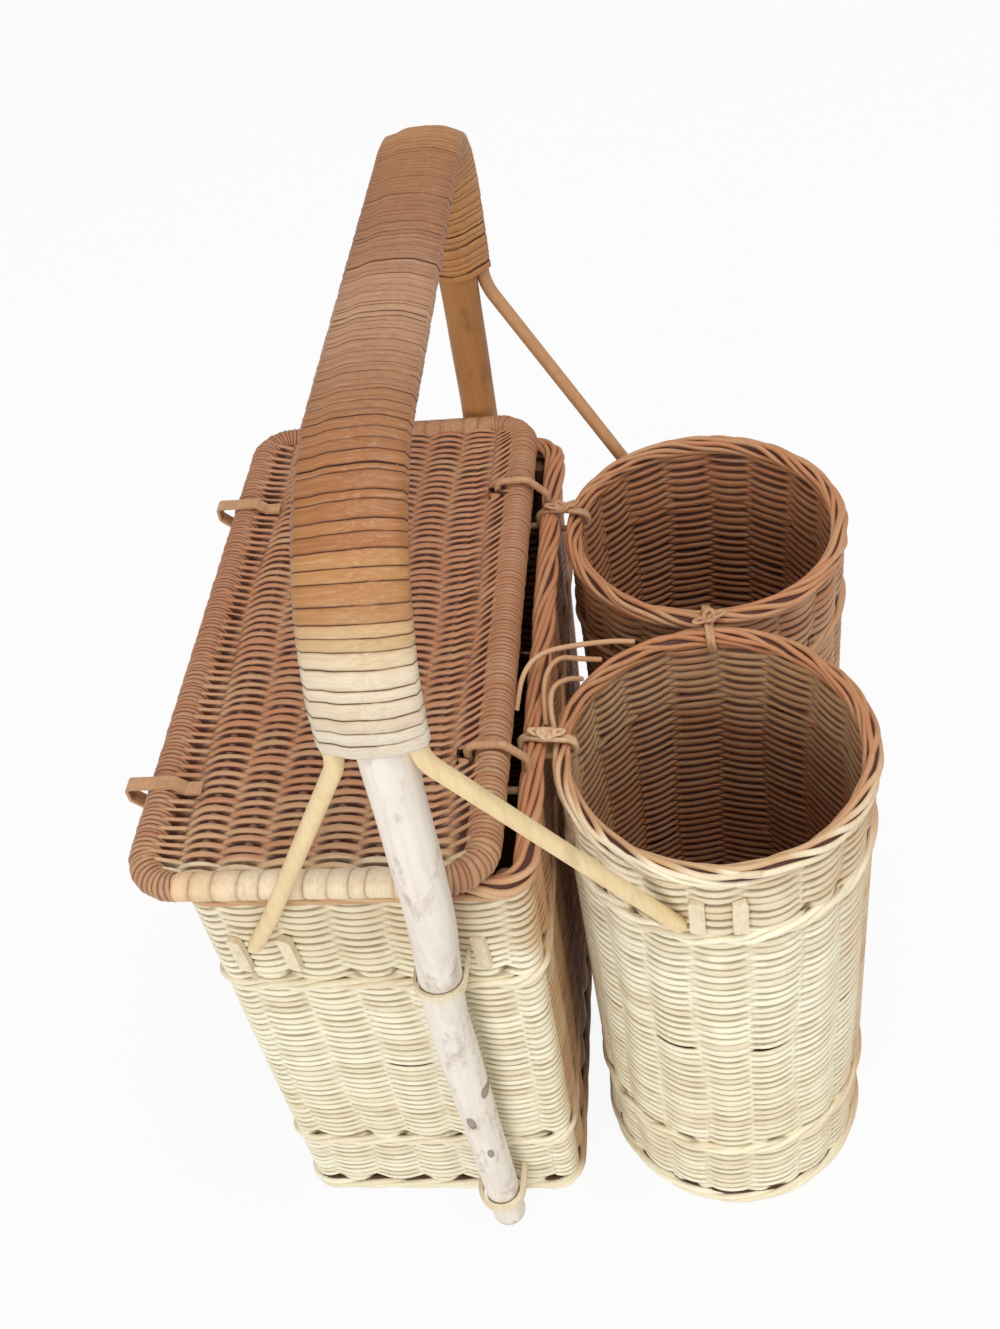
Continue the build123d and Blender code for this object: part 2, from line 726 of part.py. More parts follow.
# The two side rods, which splay below the binding as struts
strut_foot_level = hamper_height - strut_foot_drop
strut_knee_level = hamper_height - strut_knee_drop
side_rod_radius = side_rod_diameter / 2
right_rod_offset = sqrt((pole_radius + side_rod_radius + 2 * seat_gap) ** 2 - side_rod_lift**2)
left_rod_offset = right_rod_offset + left_rod_gap
side_rod_span = arch_half_span + side_rod_lift
arch_slope = (arch_far_height - arch_near_height) / (2 * arch_half_span)
lift_rise = side_rod_lift * sqrt(1 + arch_slope**2)
lift_slip = side_rod_lift * arch_slope
knee_y = lid_half_length + side_rod_radius + 2 * rest_gap
strut_foot_out = side_rod_radius - strut_sink
hamper_foot_y = hamper_size(strut_foot_level)[2] + strut_foot_out
left_foot_x = hamper_x + strut_left_foot_shift
right_foot_x = {-1: hamper_x + strut_near_right_foot_shift, 1: hamper_x + strut_far_right_foot_shift}


def bottle_front(x, level, out):
    """Return how far a point outside a bottle basket lies from the middle, at x and level."""
    return bottle_y + sqrt((bottle_radius(level) + out) ** 2 - (x - bottle_x) ** 2)


def left_strut(side, start):
    """Return the foot and knee of the strut that ends on the hamper, on side -1 or 1."""
    knee_share = (start.Z - strut_knee_level) / (start.Z - strut_foot_level)
    knee_x = start.X + knee_share * (left_foot_x - start.X)
    return [
        Vector(left_foot_x, side * hamper_foot_y, strut_foot_level),
        Vector(knee_x, side * knee_y, strut_knee_level),
    ]


def right_strut(side):
    """Return the foot of the strut that ends on a bottle basket, on side -1 or 1."""
    foot_y = bottle_front(right_foot_x[side], strut_foot_level, strut_foot_out)
    return [Vector(right_foot_x[side], side * foot_y, strut_foot_level)]


for rod_name, aside in (("handle_left_rod", -left_rod_offset), ("handle_right_rod", right_rod_offset)):
    near_bend = arch_point(-side_rod_span, wrap_near_end - strut_bend_drop, aside)
    far_bend = arch_point(side_rod_span, wrap_far_end - strut_bend_drop, aside)
    if aside < 0:
        near_foot = left_strut(-1, near_bend)
        far_foot = left_strut(1, far_bend)
        knee_radii = [strut_knee_radius]
    else:
        near_foot = right_strut(-1)
        far_foot = right_strut(1)
        knee_radii = []
    rod_route = near_foot + [
        near_bend,
        arch_point(-side_rod_span, arch_near_height + lift_rise - lift_slip, aside),
        arch_point(side_rod_span, arch_far_height + lift_rise + lift_slip, aside),
        far_bend,
    ]
    rod_route += list(reversed(far_foot))
    arch_radii = [arch_near_radius + side_rod_lift, arch_far_radius + side_rod_lift]
    rod_radii = [strut_bend_radius] + arch_radii + [strut_bend_radius]
    with BuildPart() as side_rod:
        with BuildLine() as rod_line:
            FilletPolyline(*rod_route, radius=knee_radii + rod_radii + knee_radii)
        with BuildSketch(Plane(rod_line.line @ 0, z_dir=rod_line.line % 0)):
            Circle(side_rod_radius)
        sweep()
        for wall in [hamper_wall.part] if aside < 0 else bottle_walls:
            add(wall, mode=Mode.SUBTRACT)
    side_rod.part.label = rod_name
    export_step(side_rod.part, f"parts/{rod_name}.step")

# The cane binding of the grip, drawn tight round the pole and the two side rods
wrap_route = [
    arch_point(-arch_half_span, wrap_near_end),
    arch_point(-arch_half_span, arch_near_height),
    arch_point(arch_half_span, arch_far_height),
    arch_point(arch_half_span, wrap_far_end),
]


def wrap_section(plane, grow):
    """Return the section of a band stretched round the pole and the rods, grown outwards by grow."""
    with BuildSketch(plane) as section:
        Circle(pole_radius + seat_gap + grow)
        with Locations((-left_rod_offset, -side_rod_lift), (right_rod_offset, -side_rod_lift)):
            Circle(side_rod_radius + seat_gap + grow)
        make_hull()
    return section.sketch


with BuildPart() as handle_wrap:
    with BuildLine() as wrap_line:
        FilletPolyline(*wrap_route, radius=[arch_near_radius, arch_far_radius])
    wrap_start = Plane(wrap_line.line @ 0, x_dir=arch_normal, z_dir=wrap_line.line % 0)
    sweep(wrap_section(wrap_start, wrap_thickness), path=wrap_line.line)
    sweep(wrap_section(wrap_start, 0), path=wrap_line.line, mode=Mode.SUBTRACT)
handle_wrap.part.label = "handle_wrap"
export_step(handle_wrap.part, "parts/handle_wrap.step")


# The cane loops that strap the pole to the hamper's two end walls. Each is a slanted slice of a
# channel that follows the pole's leg and opens towards the wall.
def leg_channel(side, grow):
    """Return the pole's leg on one side, grown outwards by grow and run inwards into the wall."""
    radius = pole_radius + grow
    rise = arch_point(side * arch_half_span, arch_foot_level)
    with BuildPart() as channel:
        with BuildLine() as leg:
            route = (on_side(pole_foot, side), on_side(pole_strap, side), rise)
            FilletPolyline(*route, radius=pole_bend_radius)
        with BuildSketch(Plane(leg.line @ 0, x_dir=(1, 0, 0), z_dir=leg.line % 0)):
            Circle(radius)
            with Locations((0, -side * radius)):
                Rectangle(2 * radius, 2 * radius)
        sweep()
    return channel.part


def pole_loop(side, level, tilt, width, thickness):
    """Return a band round the pole's outer half, whose legs end on the hamper's wall."""
    outward = Vector(0, side * sin(radians(tilt)), cos(radians(tilt)))
    middle = Vector(pole_foot.X, side * (hamper_size(level)[2] + pole_radius), level)
    with BuildPart() as band:
        add(leg_channel(side, rest_gap + thickness))
        add(leg_channel(side, rest_gap), mode=Mode.SUBTRACT)
        with BuildSketch(Plane(middle, x_dir=(1, 0, 0), z_dir=outward)):
            Rectangle(6 * pole_radius, 6 * pole_radius)
        extrude(amount=width / 2, both=True, mode=Mode.INTERSECT)
        clear = foot_proud + seat_gap
        loft([hamper_outline(0, clear), hamper_outline(foot_height, clear)], mode=Mode.SUBTRACT)
        clear = -hamper_relief
        loft([hamper_outline(0, clear), hamper_outline(wall_top, clear)], mode=Mode.SUBTRACT)
        add(hamper_wall.part, mode=Mode.SUBTRACT)
    return band.part


upper_loop_level = pole_strap.Z + upper_loop_rise
for end_name, side in (("near", -1), ("far", 1)):
    with BuildPart() as upper_loop:
        add(pole_loop(side, upper_loop_level, upper_loop_tilt, cane_width, cane_thickness))
    upper_loop.part.label = f"{end_name}_pole_upper_loop"
    export_step(upper_loop.part, f"parts/{end_name}_pole_upper_loop.step")

    with BuildPart() as lower_loop:
        add(pole_loop(side, lower_loop_level, lower_loop_tilt, 2 * weft_diameter, weft_diameter))
    lower_loop.part.label = f"{end_name}_pole_lower_loop"
    export_step(lower_loop.part, f"parts/{end_name}_pole_lower_loop.step")

# The cane staples woven in beside the feet of the struts, and one beside each upper loop
def staple(place, outward, slant, length, relief):
    """Return a flat staple on the face of a wall, sunk to the bottom of the valleys."""
    across = Vector(0, 0, 1).cross(outward).normalized()
    start = Plane(place - outward * relief, x_dir=across, z_dir=outward).rotated((0, 0, slant))
    with BuildPart() as flat:
        with BuildSketch(start):
            RectangleRounded(staple_width, length, staple_thickness)
        extrude(amount=relief + staple_thickness)
    return flat.part


staple_places = [
    left_foot_x - staple_inset,
    left_foot_x - staple_inset + staple_pitch,
    pole_foot.X + pole_radius + loop_staple_gap,
]
for end_name, side, bottle_wall in (("near", -1, bottle_walls[0]), ("far", 1, bottle_walls[1])):
    wall_slope = (hamper_rim_half_length - hamper_foot_half_length) / hamper_height
    wall_normal = Vector(0, side, -wall_slope).normalized()
    with BuildPart() as hamper_staples:
        for x in staple_places:
            place = Vector(x, hamper_wall_line(side, hamper_staple_level), hamper_staple_level)
            add(staple(place, wall_normal, side * staple_slant, hamper_staple_length, hamper_relief))
        add(hamper_wall.part, mode=Mode.SUBTRACT)
    hamper_staples.part.label = f"{end_name}_hamper_staples"
    export_step(hamper_staples.part, f"parts/{end_name}_hamper_staples.step")

    with BuildPart() as bottle_staples:
        for number in (0, 1):
            x = right_foot_x[side] + bottle_staple_inset + number * bottle_staple_pitch - bottle_x
            depth = sqrt((bottle_radius(bottle_staple_level) + seat_gap) ** 2 - x**2)
            outward = Vector(x, side * depth, 0).normalized()
            place = Vector(bottle_x + x, side * (bottle_y + depth), bottle_staple_level)
            add(staple(place, outward, 0, bottle_staple_length, bottle_relief))
        add(bottle_wall, mode=Mode.SUBTRACT)
    bottle_staples.part.label = f"{end_name}_bottle_staples"
    export_step(bottle_staples.part, f"parts/{end_name}_bottle_staples.step")

print("hamper's foot centre at x", round(hamper_x, 3))
print("lid hinge axis at x", round(lid_right_rod, 3), "z", round(lid_level, 3))
print("bottle basket axes at x", round(bottle_x, 3), "y", round(bottle_y, 3))
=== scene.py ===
"""Dresses the picnic basket with woven rattan and cane, and sets its stage.

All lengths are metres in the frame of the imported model: +Z up, -Y the near end, +X the side of the
bottle baskets.
"""
import math
from types import SimpleNamespace

import bpy
import numpy as np
from bpy.props import FloatProperty, FloatVectorProperty, IntProperty, PointerProperty
from mathutils import Matrix, Vector


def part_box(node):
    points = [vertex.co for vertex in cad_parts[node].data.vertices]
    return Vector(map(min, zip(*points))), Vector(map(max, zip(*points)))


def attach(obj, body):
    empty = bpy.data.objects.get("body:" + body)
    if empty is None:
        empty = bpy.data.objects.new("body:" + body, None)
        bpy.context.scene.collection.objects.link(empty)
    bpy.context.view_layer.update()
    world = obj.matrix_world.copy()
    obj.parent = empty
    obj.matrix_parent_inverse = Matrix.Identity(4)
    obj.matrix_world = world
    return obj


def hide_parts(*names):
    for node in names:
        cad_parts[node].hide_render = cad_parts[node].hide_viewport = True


bl_info = {
    "name": "Woven Picnic Basket",
    "version": (1, 1, 0),
    "blender": (4, 5, 0),
    "location": "3D View > Sidebar > Basket",
    "description": "Weaves the walls, lid, borders and bound handle of a rattan picnic basket",
    "category": "Object",
}

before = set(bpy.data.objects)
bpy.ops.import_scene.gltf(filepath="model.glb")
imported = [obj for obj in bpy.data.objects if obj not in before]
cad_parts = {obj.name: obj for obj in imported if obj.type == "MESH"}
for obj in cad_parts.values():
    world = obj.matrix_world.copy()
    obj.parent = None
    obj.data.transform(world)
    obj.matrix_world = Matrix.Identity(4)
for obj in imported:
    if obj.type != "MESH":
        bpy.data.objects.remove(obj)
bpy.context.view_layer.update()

MM = 0.001


def centre_of(node, axis):
    """Return the middle of a node's box along an axis."""
    low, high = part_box(node)
    return (low[axis] + high[axis]) / 2


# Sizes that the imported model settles
HAMPER_X = centre_of("hamper_foot", 0)
HAMPER_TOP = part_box("hamper_border")[1].z
WALL_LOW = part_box("hamper_wall")[0].z
WALL_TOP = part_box("hamper_wall")[1].z
BOTTLE_X = centre_of("near_bottle_border", 0)
BOTTLE_Y = centre_of("far_bottle_border", 1)
BOTTLE_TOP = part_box("near_bottle_border")[1].z
BOTTLE_WALL_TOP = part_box("near_bottle_wall")[1].z
LID_ROD = 4.5 * MM
LID_BEND = 14 * MM
LID_LEVEL = centre_of("lid_frame", 2)
LID_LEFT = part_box("lid_frame")[0].x + LID_ROD
LID_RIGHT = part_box("lid_frame")[1].x - LID_ROD
LID_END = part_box("lid_frame")[1].y - LID_ROD
LID_MIDDLE = (LID_LEFT + LID_RIGHT) / 2

# The hamper's outline at the floor, and what it gains or loses by the top of its border
HAMPER_THICK = 6.0 * MM
HAMPER_CORNER = 13 * MM
HAMPER_HALF_WIDTH = 65 * MM
HAMPER_NARROWING = 1 * MM
HAMPER_HALF_LENGTH = 114.5 * MM
HAMPER_FLARE = 11 * MM
HAMPER_LEAN = 8.5 * MM
HAMPER_STAKES = (10, 1, 5, 1, 10, 1, 5, 1)

# A bottle basket's outline, and how its stakes stand round it
BOTTLE_THICK = 5.3 * MM
BOTTLE_RADIUS = 58.2 * MM
BOTTLE_FLARE = 0.8 * MM
FIRST_STAKE = math.radians(13)
STAKE_BUNCHING = math.radians(5)

# The handle's arch, which leans and is skewed, and the ends of its winding
ARCH_X = HAMPER_X + 37.25 * MM
ARCH_LEAN = 0.012
ARCH_SKEW = 0.029
ARCH_NORMAL = np.array([1, ARCH_SKEW, -ARCH_LEAN]) / math.sqrt(1 + ARCH_SKEW**2 + ARCH_LEAN**2)
ARCH_FOOT = 0.27
ARCH_SPAN = 0.1435
ARCH_NEAR = 0.426
ARCH_FAR = 0.408
NEAR_BEND = 60 * MM
FAR_BEND = 36 * MM
WRAP_NEAR = 0.361
WRAP_FAR = 0.338

# The pole and the thin rods inside the winding, as (across, outwards, radius)
WRAPPED = np.array([(0, 0, 8.3), (-14.29, 3.2, 3.05), (10.89, 3.2, 3.05)]) * MM
WRAP_THICK = 0.5 * MM

# Places across a strand, from edge to edge
FINE_ACROSS = np.array([0.01, 0.15, 0.5, 0.85, 0.99])
COARSE_ACROSS = np.array([0.03, 0.5, 0.97])

# How unevenly strands lie: a drift in radians, shifts of an edge and the fading of a gap in rows,
# and the share of slits that gape
DRIFT = 0.16
WAVE = 0.08
JITTER = 0.10
GAPE_ABOVE = 0.30
GAPE_BELOW = 0.22
LENS_FADE = 9
GAPING = 0.03

# The rows of a grid close, or end in caps
CLOSED = (True, True)
CAPPED = (False, True)


def length(name, text, value):
    """Return a length property."""
    return FloatProperty(name=name, description=text, default=value, unit="LENGTH", precision=4)


def colour(name, text, value):
    """Return a colour property."""
    return FloatVectorProperty(
        name=name, description=text, default=value, size=3, min=0, max=1, subtype="COLOR"
    )


class WeaveSizes(bpy.types.PropertyGroup):
    """Sizes of the strands and of the weave"""

    weft: length("Weft", "Diameter of the strands that run round the walls", 2.1 * MM)
    pitch: length("Wall pitch", "Distance from one row of a wall to the next", 2.27 * MM)
    lid_pitch: length("Lid pitch", "Distance from one row of the lid to the next", 2.02 * MM)
    fineness: IntProperty(name="Fineness", description="Points from one stake to the next", default=8)
    wale_strand: length("Wale strand", "Diameter of the three wale strands", 2.7 * MM)
    border_strand: length("Border strand", "Diameter of the hamper border's strands", 2.6 * MM)
    rim_strand: length("Rim strand", "Diameter of the bottle borders' strands", 2.3 * MM)
    bottle_stakes: IntProperty(name="Bottle stakes", description="Stakes round a bottle basket", default=18)
    lid_sticks: IntProperty(name="Lid sticks", description="Sticks inside the lid's weave", default=6)
    stick_gap: length("Stick spacing", "Distance from one stick of the lid to the next", 16.0 * MM)


class HandleSizes(bpy.types.PropertyGroup):
    """Sizes of the bound handle"""

    cane: length("Cane width", "Width of a turn of cane on top of the grip", 3.1 * MM)
    crown: length("Cane crown", "How far the middle of a turn stands over its edges", 0.45 * MM)
    lid_cane: length("Lid cane width", "Width of the flat cane bound round the lid's end bars", 7.6 * MM)
    pole_foot: length("Pole foot", "Diameter of the pole at its feet", 15.2 * MM)
    pole_top: length("Pole top", "Diameter of the pole below the grip", 17.2 * MM)


class RattanColours(bpy.types.PropertyGroup):
    """Colours of the rattan and cane"""

    brown: colour("Aged weave", "Weave that has darkened with age", (0.50, 0.215, 0.10))
    # Tan and cream are reached where the weave faces the near end: partly bleaching, partly painted front
    # light.
    tan: colour("Tan weave", "Weave that is half bleached", (0.68, 0.46, 0.26))
    cream: colour("Bleached weave", "Weave on the bleached outside", (0.94, 0.88, 0.67))
    # The two gap colours are painted shade in the slits between strands.
    gap: colour("Gaps", "Slits between aged strands", (0.085, 0.026, 0.014))
    pale_gap: colour("Pale gaps", "Slits between bleached strands", (0.42, 0.34, 0.19))
    pole: colour("Peeled pole", "Peeled skin of the near leg", (0.87, 0.80, 0.71))
    pole_brown: colour("Brown pole", "Unpeeled skin of the far leg", (0.46, 0.21, 0.065))
    strut: colour("Struts", "Skin of the thin rods", (0.84, 0.65, 0.36))
    far_strut: colour("Far struts", "Skin of the thin rods at the far end", (0.52, 0.27, 0.12))
    bar_cream: colour("Pale bar cane", "Cane on the lid's near bar", (0.86, 0.71, 0.50))
    bar_tan: colour("Tan bar cane", "The same cane at its left end", (0.76, 0.52, 0.29))
    bar_brown: colour("Brown bar cane", "The same cane at its right end", (0.62, 0.40, 0.23))
    far_bar: colour("Far bar cane", "Cane on the lid's far bar, left end", (0.42, 0.19, 0.085))
    far_bar_tan: colour("Tan far bar cane", "The same cane at its right end", (0.50, 0.26, 0.13))
    strap: colour("Straps", "Cane of the loops, ties and hasps", (0.55, 0.31, 0.16))
    strap_streak: colour("Strap streaks", "Dark streaks on the same cane", (0.36, 0.17, 0.08))
    pale_strap: colour("Pale straps", "Cane of the near loops and staples", (0.86, 0.76, 0.55))
    pale_streak: colour("Pale strap streaks", "Streaks on the same cane", (0.70, 0.55, 0.34))
    tie: colour("Near tie", "Cane of the near tie", (0.74, 0.50, 0.30))
    tie_streak: colour("Near tie streaks", "Streaks on the same cane", (0.46, 0.25, 0.13))
    inside: colour("Inner sticks", "Sticks, posts and bases inside", (0.24, 0.11, 0.055))
    far_inside: colour("Far inner sticks", "The same at the far end", (0.16, 0.065, 0.032))


class Wire:
    """A shader socket that takes part in sums."""

    def __init__(self, look, socket):
        self.look = look
        self.socket = socket

    def maths(self, operation, *values):
        return self.look.node("ShaderNodeMath", {"operation": operation}, values)

    def __add__(self, other):
        return self.maths("ADD", self, other)

    __radd__ = __add__

    def __sub__(self, other):
        return self.maths("SUBTRACT", self, other)

    def __rsub__(self, other):
        return self.maths("SUBTRACT", other, self)

    def __mul__(self, other):
        return self.maths("MULTIPLY", self, other)

    def __rmul__(self, other):
        return self.maths("MULTIPLY", other, self)

    def __pow__(self, other):
        return self.maths("POWER", self, other)

    def clamp(self):
        return self.look.node("ShaderNodeClamp", {}, (self,))

    def span(self, low, high):
        """Return 0 at low, 1 at high and a straight line between."""
        return self.look.node("ShaderNodeMapRange", {}, {0: self, 1: low, 2: high, 3: 0.0, 4: 1.0})


class Look:
    """A material under construction."""

    def __init__(self, name):
        self.material = bpy.data.materials.new(name)
        self.material.use_nodes = True
        self.tree = self.material.node_tree
        self.shader = self.tree.nodes["Principled BSDF"]

    def node(self, kind, settings, values=(), out=0):
        """Add a node, set it up, fill its sockets by number or name, and return an output."""
        made = self.tree.nodes.new(kind)
        settings = dict(settings)
        stops = settings.pop("stops", None)
        for key, value in settings.items():
            setattr(made, key, value)
        if stops:
            ramp_stops = made.color_ramp.elements
            while len(ramp_stops) < len(stops):
                ramp_stops.new(0.5)
            for element, (place, shade) in zip(ramp_stops, stops):
                element.position = place
                element.color = (*shade, 1)
        pairs = values.items() if isinstance(values, dict) else enumerate(values)
        for key, value in pairs:
            self.fill(made.inputs[key], value)
        return Wire(self, made.outputs[out])

    def fill(self, socket, value):
        if isinstance(value, Wire):
            self.tree.links.new(value.socket, socket)
        elif socket.type == "RGBA":
            socket.default_value = (*value, 1)
        else:
            socket.default_value = value

    def set(self, **values):
        """Fill the shader's own sockets, named with underscores for spaces."""
        for key, value in values.items():
            self.fill(self.shader.inputs[key.replace("_", " ")], value)

    def mix(self, share, first, second, blend="MIX"):
        """Mix two colours by a share."""
        settings = {"data_type": "RGBA", "blend_type": blend, "clamp_factor": True}
        return self.node("ShaderNodeMix", settings, {0: share, 6: first, 7: second}, 2)

    def dim(self, share, shade, by):
        """Multiply a colour by another where share is above zero."""
        return self.mix(share, shade, by, "MULTIPLY")

    def ramp(self, value, stops):
        return self.node("ShaderNodeValToRGB", {"stops": stops}, (value,))

    def attribute(self, name):
        return self.node("ShaderNodeAttribute", {"attribute_name": name}, (), 2)

    def places(self):
        """Return the object coordinates, whole and as x, y and z."""
        coordinates = self.node("ShaderNodeTexCoord", {}, (), 3)
        split = self.node("ShaderNodeSeparateXYZ", {}, (coordinates,))
        return coordinates, [Wire(self, output) for output in split.socket.node.outputs]

    def joined(self, x, y, z):
        return self.node("ShaderNodeCombineXYZ", {}, (x, y, z))

    def noise(self, vector, scale, detail=3.0, roughness=0.55):
        values = {"Vector": vector, "Scale": scale, "Detail": detail, "Roughness": roughness}
        return self.node("ShaderNodeTexNoise", {"noise_dimensions": "3D"}, values, 0)

    def stretched(self, vector, scale):
        return self.node("ShaderNodeMapping", {}, {"Vector": vector, "Scale": scale})

    def bump(self, height, strength, distance):
        values = {"Strength": strength, "Distance": distance, "Height": height}
        return self.node("ShaderNodeBump", {}, values)


def ramp(value, low, high):
    """Return 0 below low, 1 above high and a smooth step between, for arrays."""
    share = np.clip((value - low) / (high - low), 0, 1)
    return share * share * (3 - 2 * share)


def circle(count):
    """Return angles that go once round in even steps."""
    return np.arange(count) * 2 * math.pi / count


def unit(vectors):
    """Return vectors at a length of 1."""
    return vectors / np.linalg.norm(vectors, axis=-1, keepdims=True)


def grid_faces(rows, columns, close_rows, close_columns):
    """Return the quads of a grid, whose rows and columns may close on themselves."""
    row = np.arange(rows if close_rows else rows - 1)
    column = np.arange(columns if close_columns else columns - 1)
    row, column = np.meshgrid(row, column, indexing="ij")
    next_row = (row + 1) % rows
    next_column = (column + 1) % columns
    corners = (
        row * columns + column,
        row * columns + next_column,
        next_row * columns + next_column,
        next_row * columns + column,
    )
    return np.stack(corners, axis=-1).reshape(-1, 4)


def make_piece(name, body, material, points, faces, attributes, nodes):
    """Make a mesh from points, faces and values on its points, and say what it rides and replaces."""
    mesh = bpy.data.meshes.new(name)
    mesh.from_pydata(np.asarray(points, float).reshape(-1, 3).tolist(), [], faces)
    mesh.polygons.foreach_set("use_smooth", np.ones(len(mesh.polygons), bool))
    for key, values in attributes.items():
        data = mesh.attributes.new(key, "FLOAT", "POINT")
        data.data.foreach_set("value", np.asarray(values, np.float32).ravel())
    mesh.materials.append(material)
    mesh.validate()
    piece = bpy.data.objects.new(name, mesh)
    bpy.context.scene.collection.objects.link(piece)
    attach(piece, body)
    if nodes:
        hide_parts(*nodes)


def grid_piece(name, body, material, grids, attributes, nodes=(), closed=CLOSED):
    """Make one piece from several grids, each (rows, columns, 3), with their lists of values. Grids
    whose rows don't close get a cap at each end."""
    faces = []
    start = 0
    for grid in grids:
        rows, columns = grid.shape[:2]
        faces += (grid_faces(rows, columns, *closed) + start).tolist()
        if not closed[0]:
            faces.append(list(range(start, start + columns))[::-1])
            last = start + (rows - 1) * columns
            faces.append(list(range(last, last + columns)))
        start += rows * columns
    points = np.concatenate([grid.reshape(-1, 3) for grid in grids])
    joined = {}
    for key, values in attributes.items():
        spread = [np.broadcast_to(value, grid.shape[:2]).ravel() for value, grid in zip(values, grids)]
        joined[key] = np.concatenate(spread)
    make_piece(name, body, material, points, faces, joined, nodes)


def bent_route(points, radii, step):
    """Return even points along straight runs joined by arcs, and how far along each lies."""
    points = np.asarray(points, float)
    pieces = [points[:1]]
    for before, corner, after, radius in zip(points[:-2], points[1:-1], points[2:], radii):
        back = unit(before - corner)
        on = unit(after - corner)
        half = math.acos(np.clip(back @ on, -1, 1)) / 2
        centre = corner + unit(back + on) * radius / math.sin(half)
        start = corner + back * radius / math.tan(half) - centre
        end = corner + on * radius / math.tan(half) - centre
        sweep = math.pi - 2 * half
        share = np.linspace(0, 1, max(4, int(sweep * radius / step)))[:, None]
        arc = (np.sin((1 - share) * sweep) * start + np.sin(share * sweep) * end) / math.sin(sweep)
        pieces.append(centre + arc)
    pieces.append(points[-1:])
    rough = np.concatenate(pieces)
    along = np.concatenate([[0], np.cumsum(np.linalg.norm(np.diff(rough, axis=0), axis=1))])
    even = np.linspace(0, along[-1], max(2, int(round(along[-1] / step)) + 1))
    return at_places(rough, along, even), even


def softened(points):
    """Return a smooth line near the points, from cutting every corner four times."""
    for _ in range(4):
        before, after = points[:-1], points[1:]
        cut = np.stack([0.75 * before + 0.25 * after, 0.25 * before + 0.75 * after], axis=1)
        points = np.concatenate([points[:1], cut.reshape(-1, 3), points[-1:]])
    return points


def at_places(values, along, places):
    """Return the rows of values, known along a line, at other places along it."""
    return np.stack([np.interp(places, along, values[:, axis]) for axis in range(values.shape[1])], axis=1)


def directions(route, closed=False):
    """Return the unit direction of travel at each point of a route, or of several routes."""
    if closed:
        ahead = np.roll(route, -1, axis=-2) - np.roll(route, 1, axis=-2)
    else:
        ahead = np.gradient(route, axis=-2)
    return unit(ahead)


def tube(route, radius, sides, up=(0, 0, 1), closed=False, flat=1.0):
    """Carry an oval along a route: centre + radius * (cos * outward + flat * sin * upward)."""
    along = directions(route, closed)
    out = unit(np.cross(along, np.asarray(up, float)))
    upward = np.cross(out, along)
    turn = -circle(sides)
    radius = np.broadcast_to(radius, route.shape[:-1])[..., None, None]
    ring = np.cos(turn)[:, None] * out[..., None, :] + flat * np.sin(turn)[:, None] * upward[..., None, :]
    return route[..., None, :] + radius * ring


def hamper_ring(stake, level):
    """Return points on the hamper wall's outer face, and their outward direction, for stake numbers
    and levels. A side has ten stakes, an end five and a corner one, and a whole number is the
    middle of a stake's rib. The outline is four straight runs and four quarter circles."""
    ends = np.concatenate([[0], np.cumsum(HAMPER_STAKES)])
    place = (stake + 0.5) % ends[-1]
    run = np.clip(np.searchsorted(ends, place, side="right") - 1, 0, len(HAMPER_STAKES) - 1)
    part = (place - ends[run]) / np.diff(ends)[run]
    rise = level / HAMPER_TOP
    flat_x = HAMPER_HALF_WIDTH - rise * HAMPER_NARROWING - HAMPER_CORNER
    flat_y = HAMPER_HALF_LENGTH + HAMPER_FLARE * rise - HAMPER_CORNER
    quarter = run // 2
    straight = run % 2 == 0
    turn = (quarter + np.where(straight, 0, part)) * math.pi / 2
    ahead = np.where(straight, 2 * part - 1, 1)
    corner_x = np.where((quarter == 0) | (quarter == 3), 1, -1)
    corner_y = np.where((quarter == 0) | (quarter == 1), 1, -1)
    x = np.where(quarter % 2 == 0, 1, ahead) * corner_x * flat_x
    y = np.where(quarter % 2 == 0, ahead, 1) * corner_y * flat_y
    x = x + HAMPER_CORNER * np.cos(turn) + HAMPER_X + HAMPER_LEAN * rise
    y = y + HAMPER_CORNER * np.sin(turn)
    return x, y, np.cos(turn), np.sin(turn)


def bottle_ring(side, stakes):
    """Return a function like hamper_ring for one bottle basket: a slightly tapered circle, whose
    stakes stand at an even angle plus 5 degrees * sin(angle)."""

    def ring(stake, level):
        even = FIRST_STAKE + 2 * math.pi * stake / stakes
        turn = even + STAKE_BUNCHING * np.sin(even)
        radius = BOTTLE_RADIUS + BOTTLE_FLARE * level / BOTTLE_TOP
        x = BOTTLE_X + radius * np.cos(turn)
        y = side * BOTTLE_Y + radius * np.sin(turn)
        return x, y, np.cos(turn), np.sin(turn)

    return ring


def three_baskets(sizes):
    """Return the hamper and the two bottle baskets, each as what its weave needs to know. Shifts say
    where the gaps over each wale stand between the stakes. A border is the middle of its section
    as (outwards, up), half its size, its strands, their turns in one round and their diameter."""
    stakes = sizes.bottle_stakes
    hamper = SimpleNamespace(
        name="hamper",
        ring=hamper_ring,
        stakes=sum(HAMPER_STAKES),
        thick=HAMPER_THICK,
        wall_top=WALL_TOP,
        inner=COARSE_ACROSS,
        slot="hamper_weave",
        shifts={"lower": 0.5, "upper": 0.5},
        border=((-2.7 * MM, HAMPER_TOP - 4.8 * MM), (3.6 * MM, 3.3 * MM), 8, 8, sizes.border_strand),
    )
    bottles = [
        SimpleNamespace(
            name=f"{end}_bottle",
            ring=bottle_ring(side, stakes),
            stakes=stakes,
            thick=BOTTLE_THICK,
            wall_top=BOTTLE_WALL_TOP,
            inner=FINE_ACROSS,
            slot="bottle_weave",
            shifts={"lower": 0.0, "upper": 0.5},
            border=((-2.2 * MM, BOTTLE_TOP - 4.7 * MM), (2.7 * MM, 3.4 * MM), 8, 3, sizes.rim_strand),
        )
        for end, side in (("near", -1), ("far", 1))
    ]
    return [hamper] + bottles


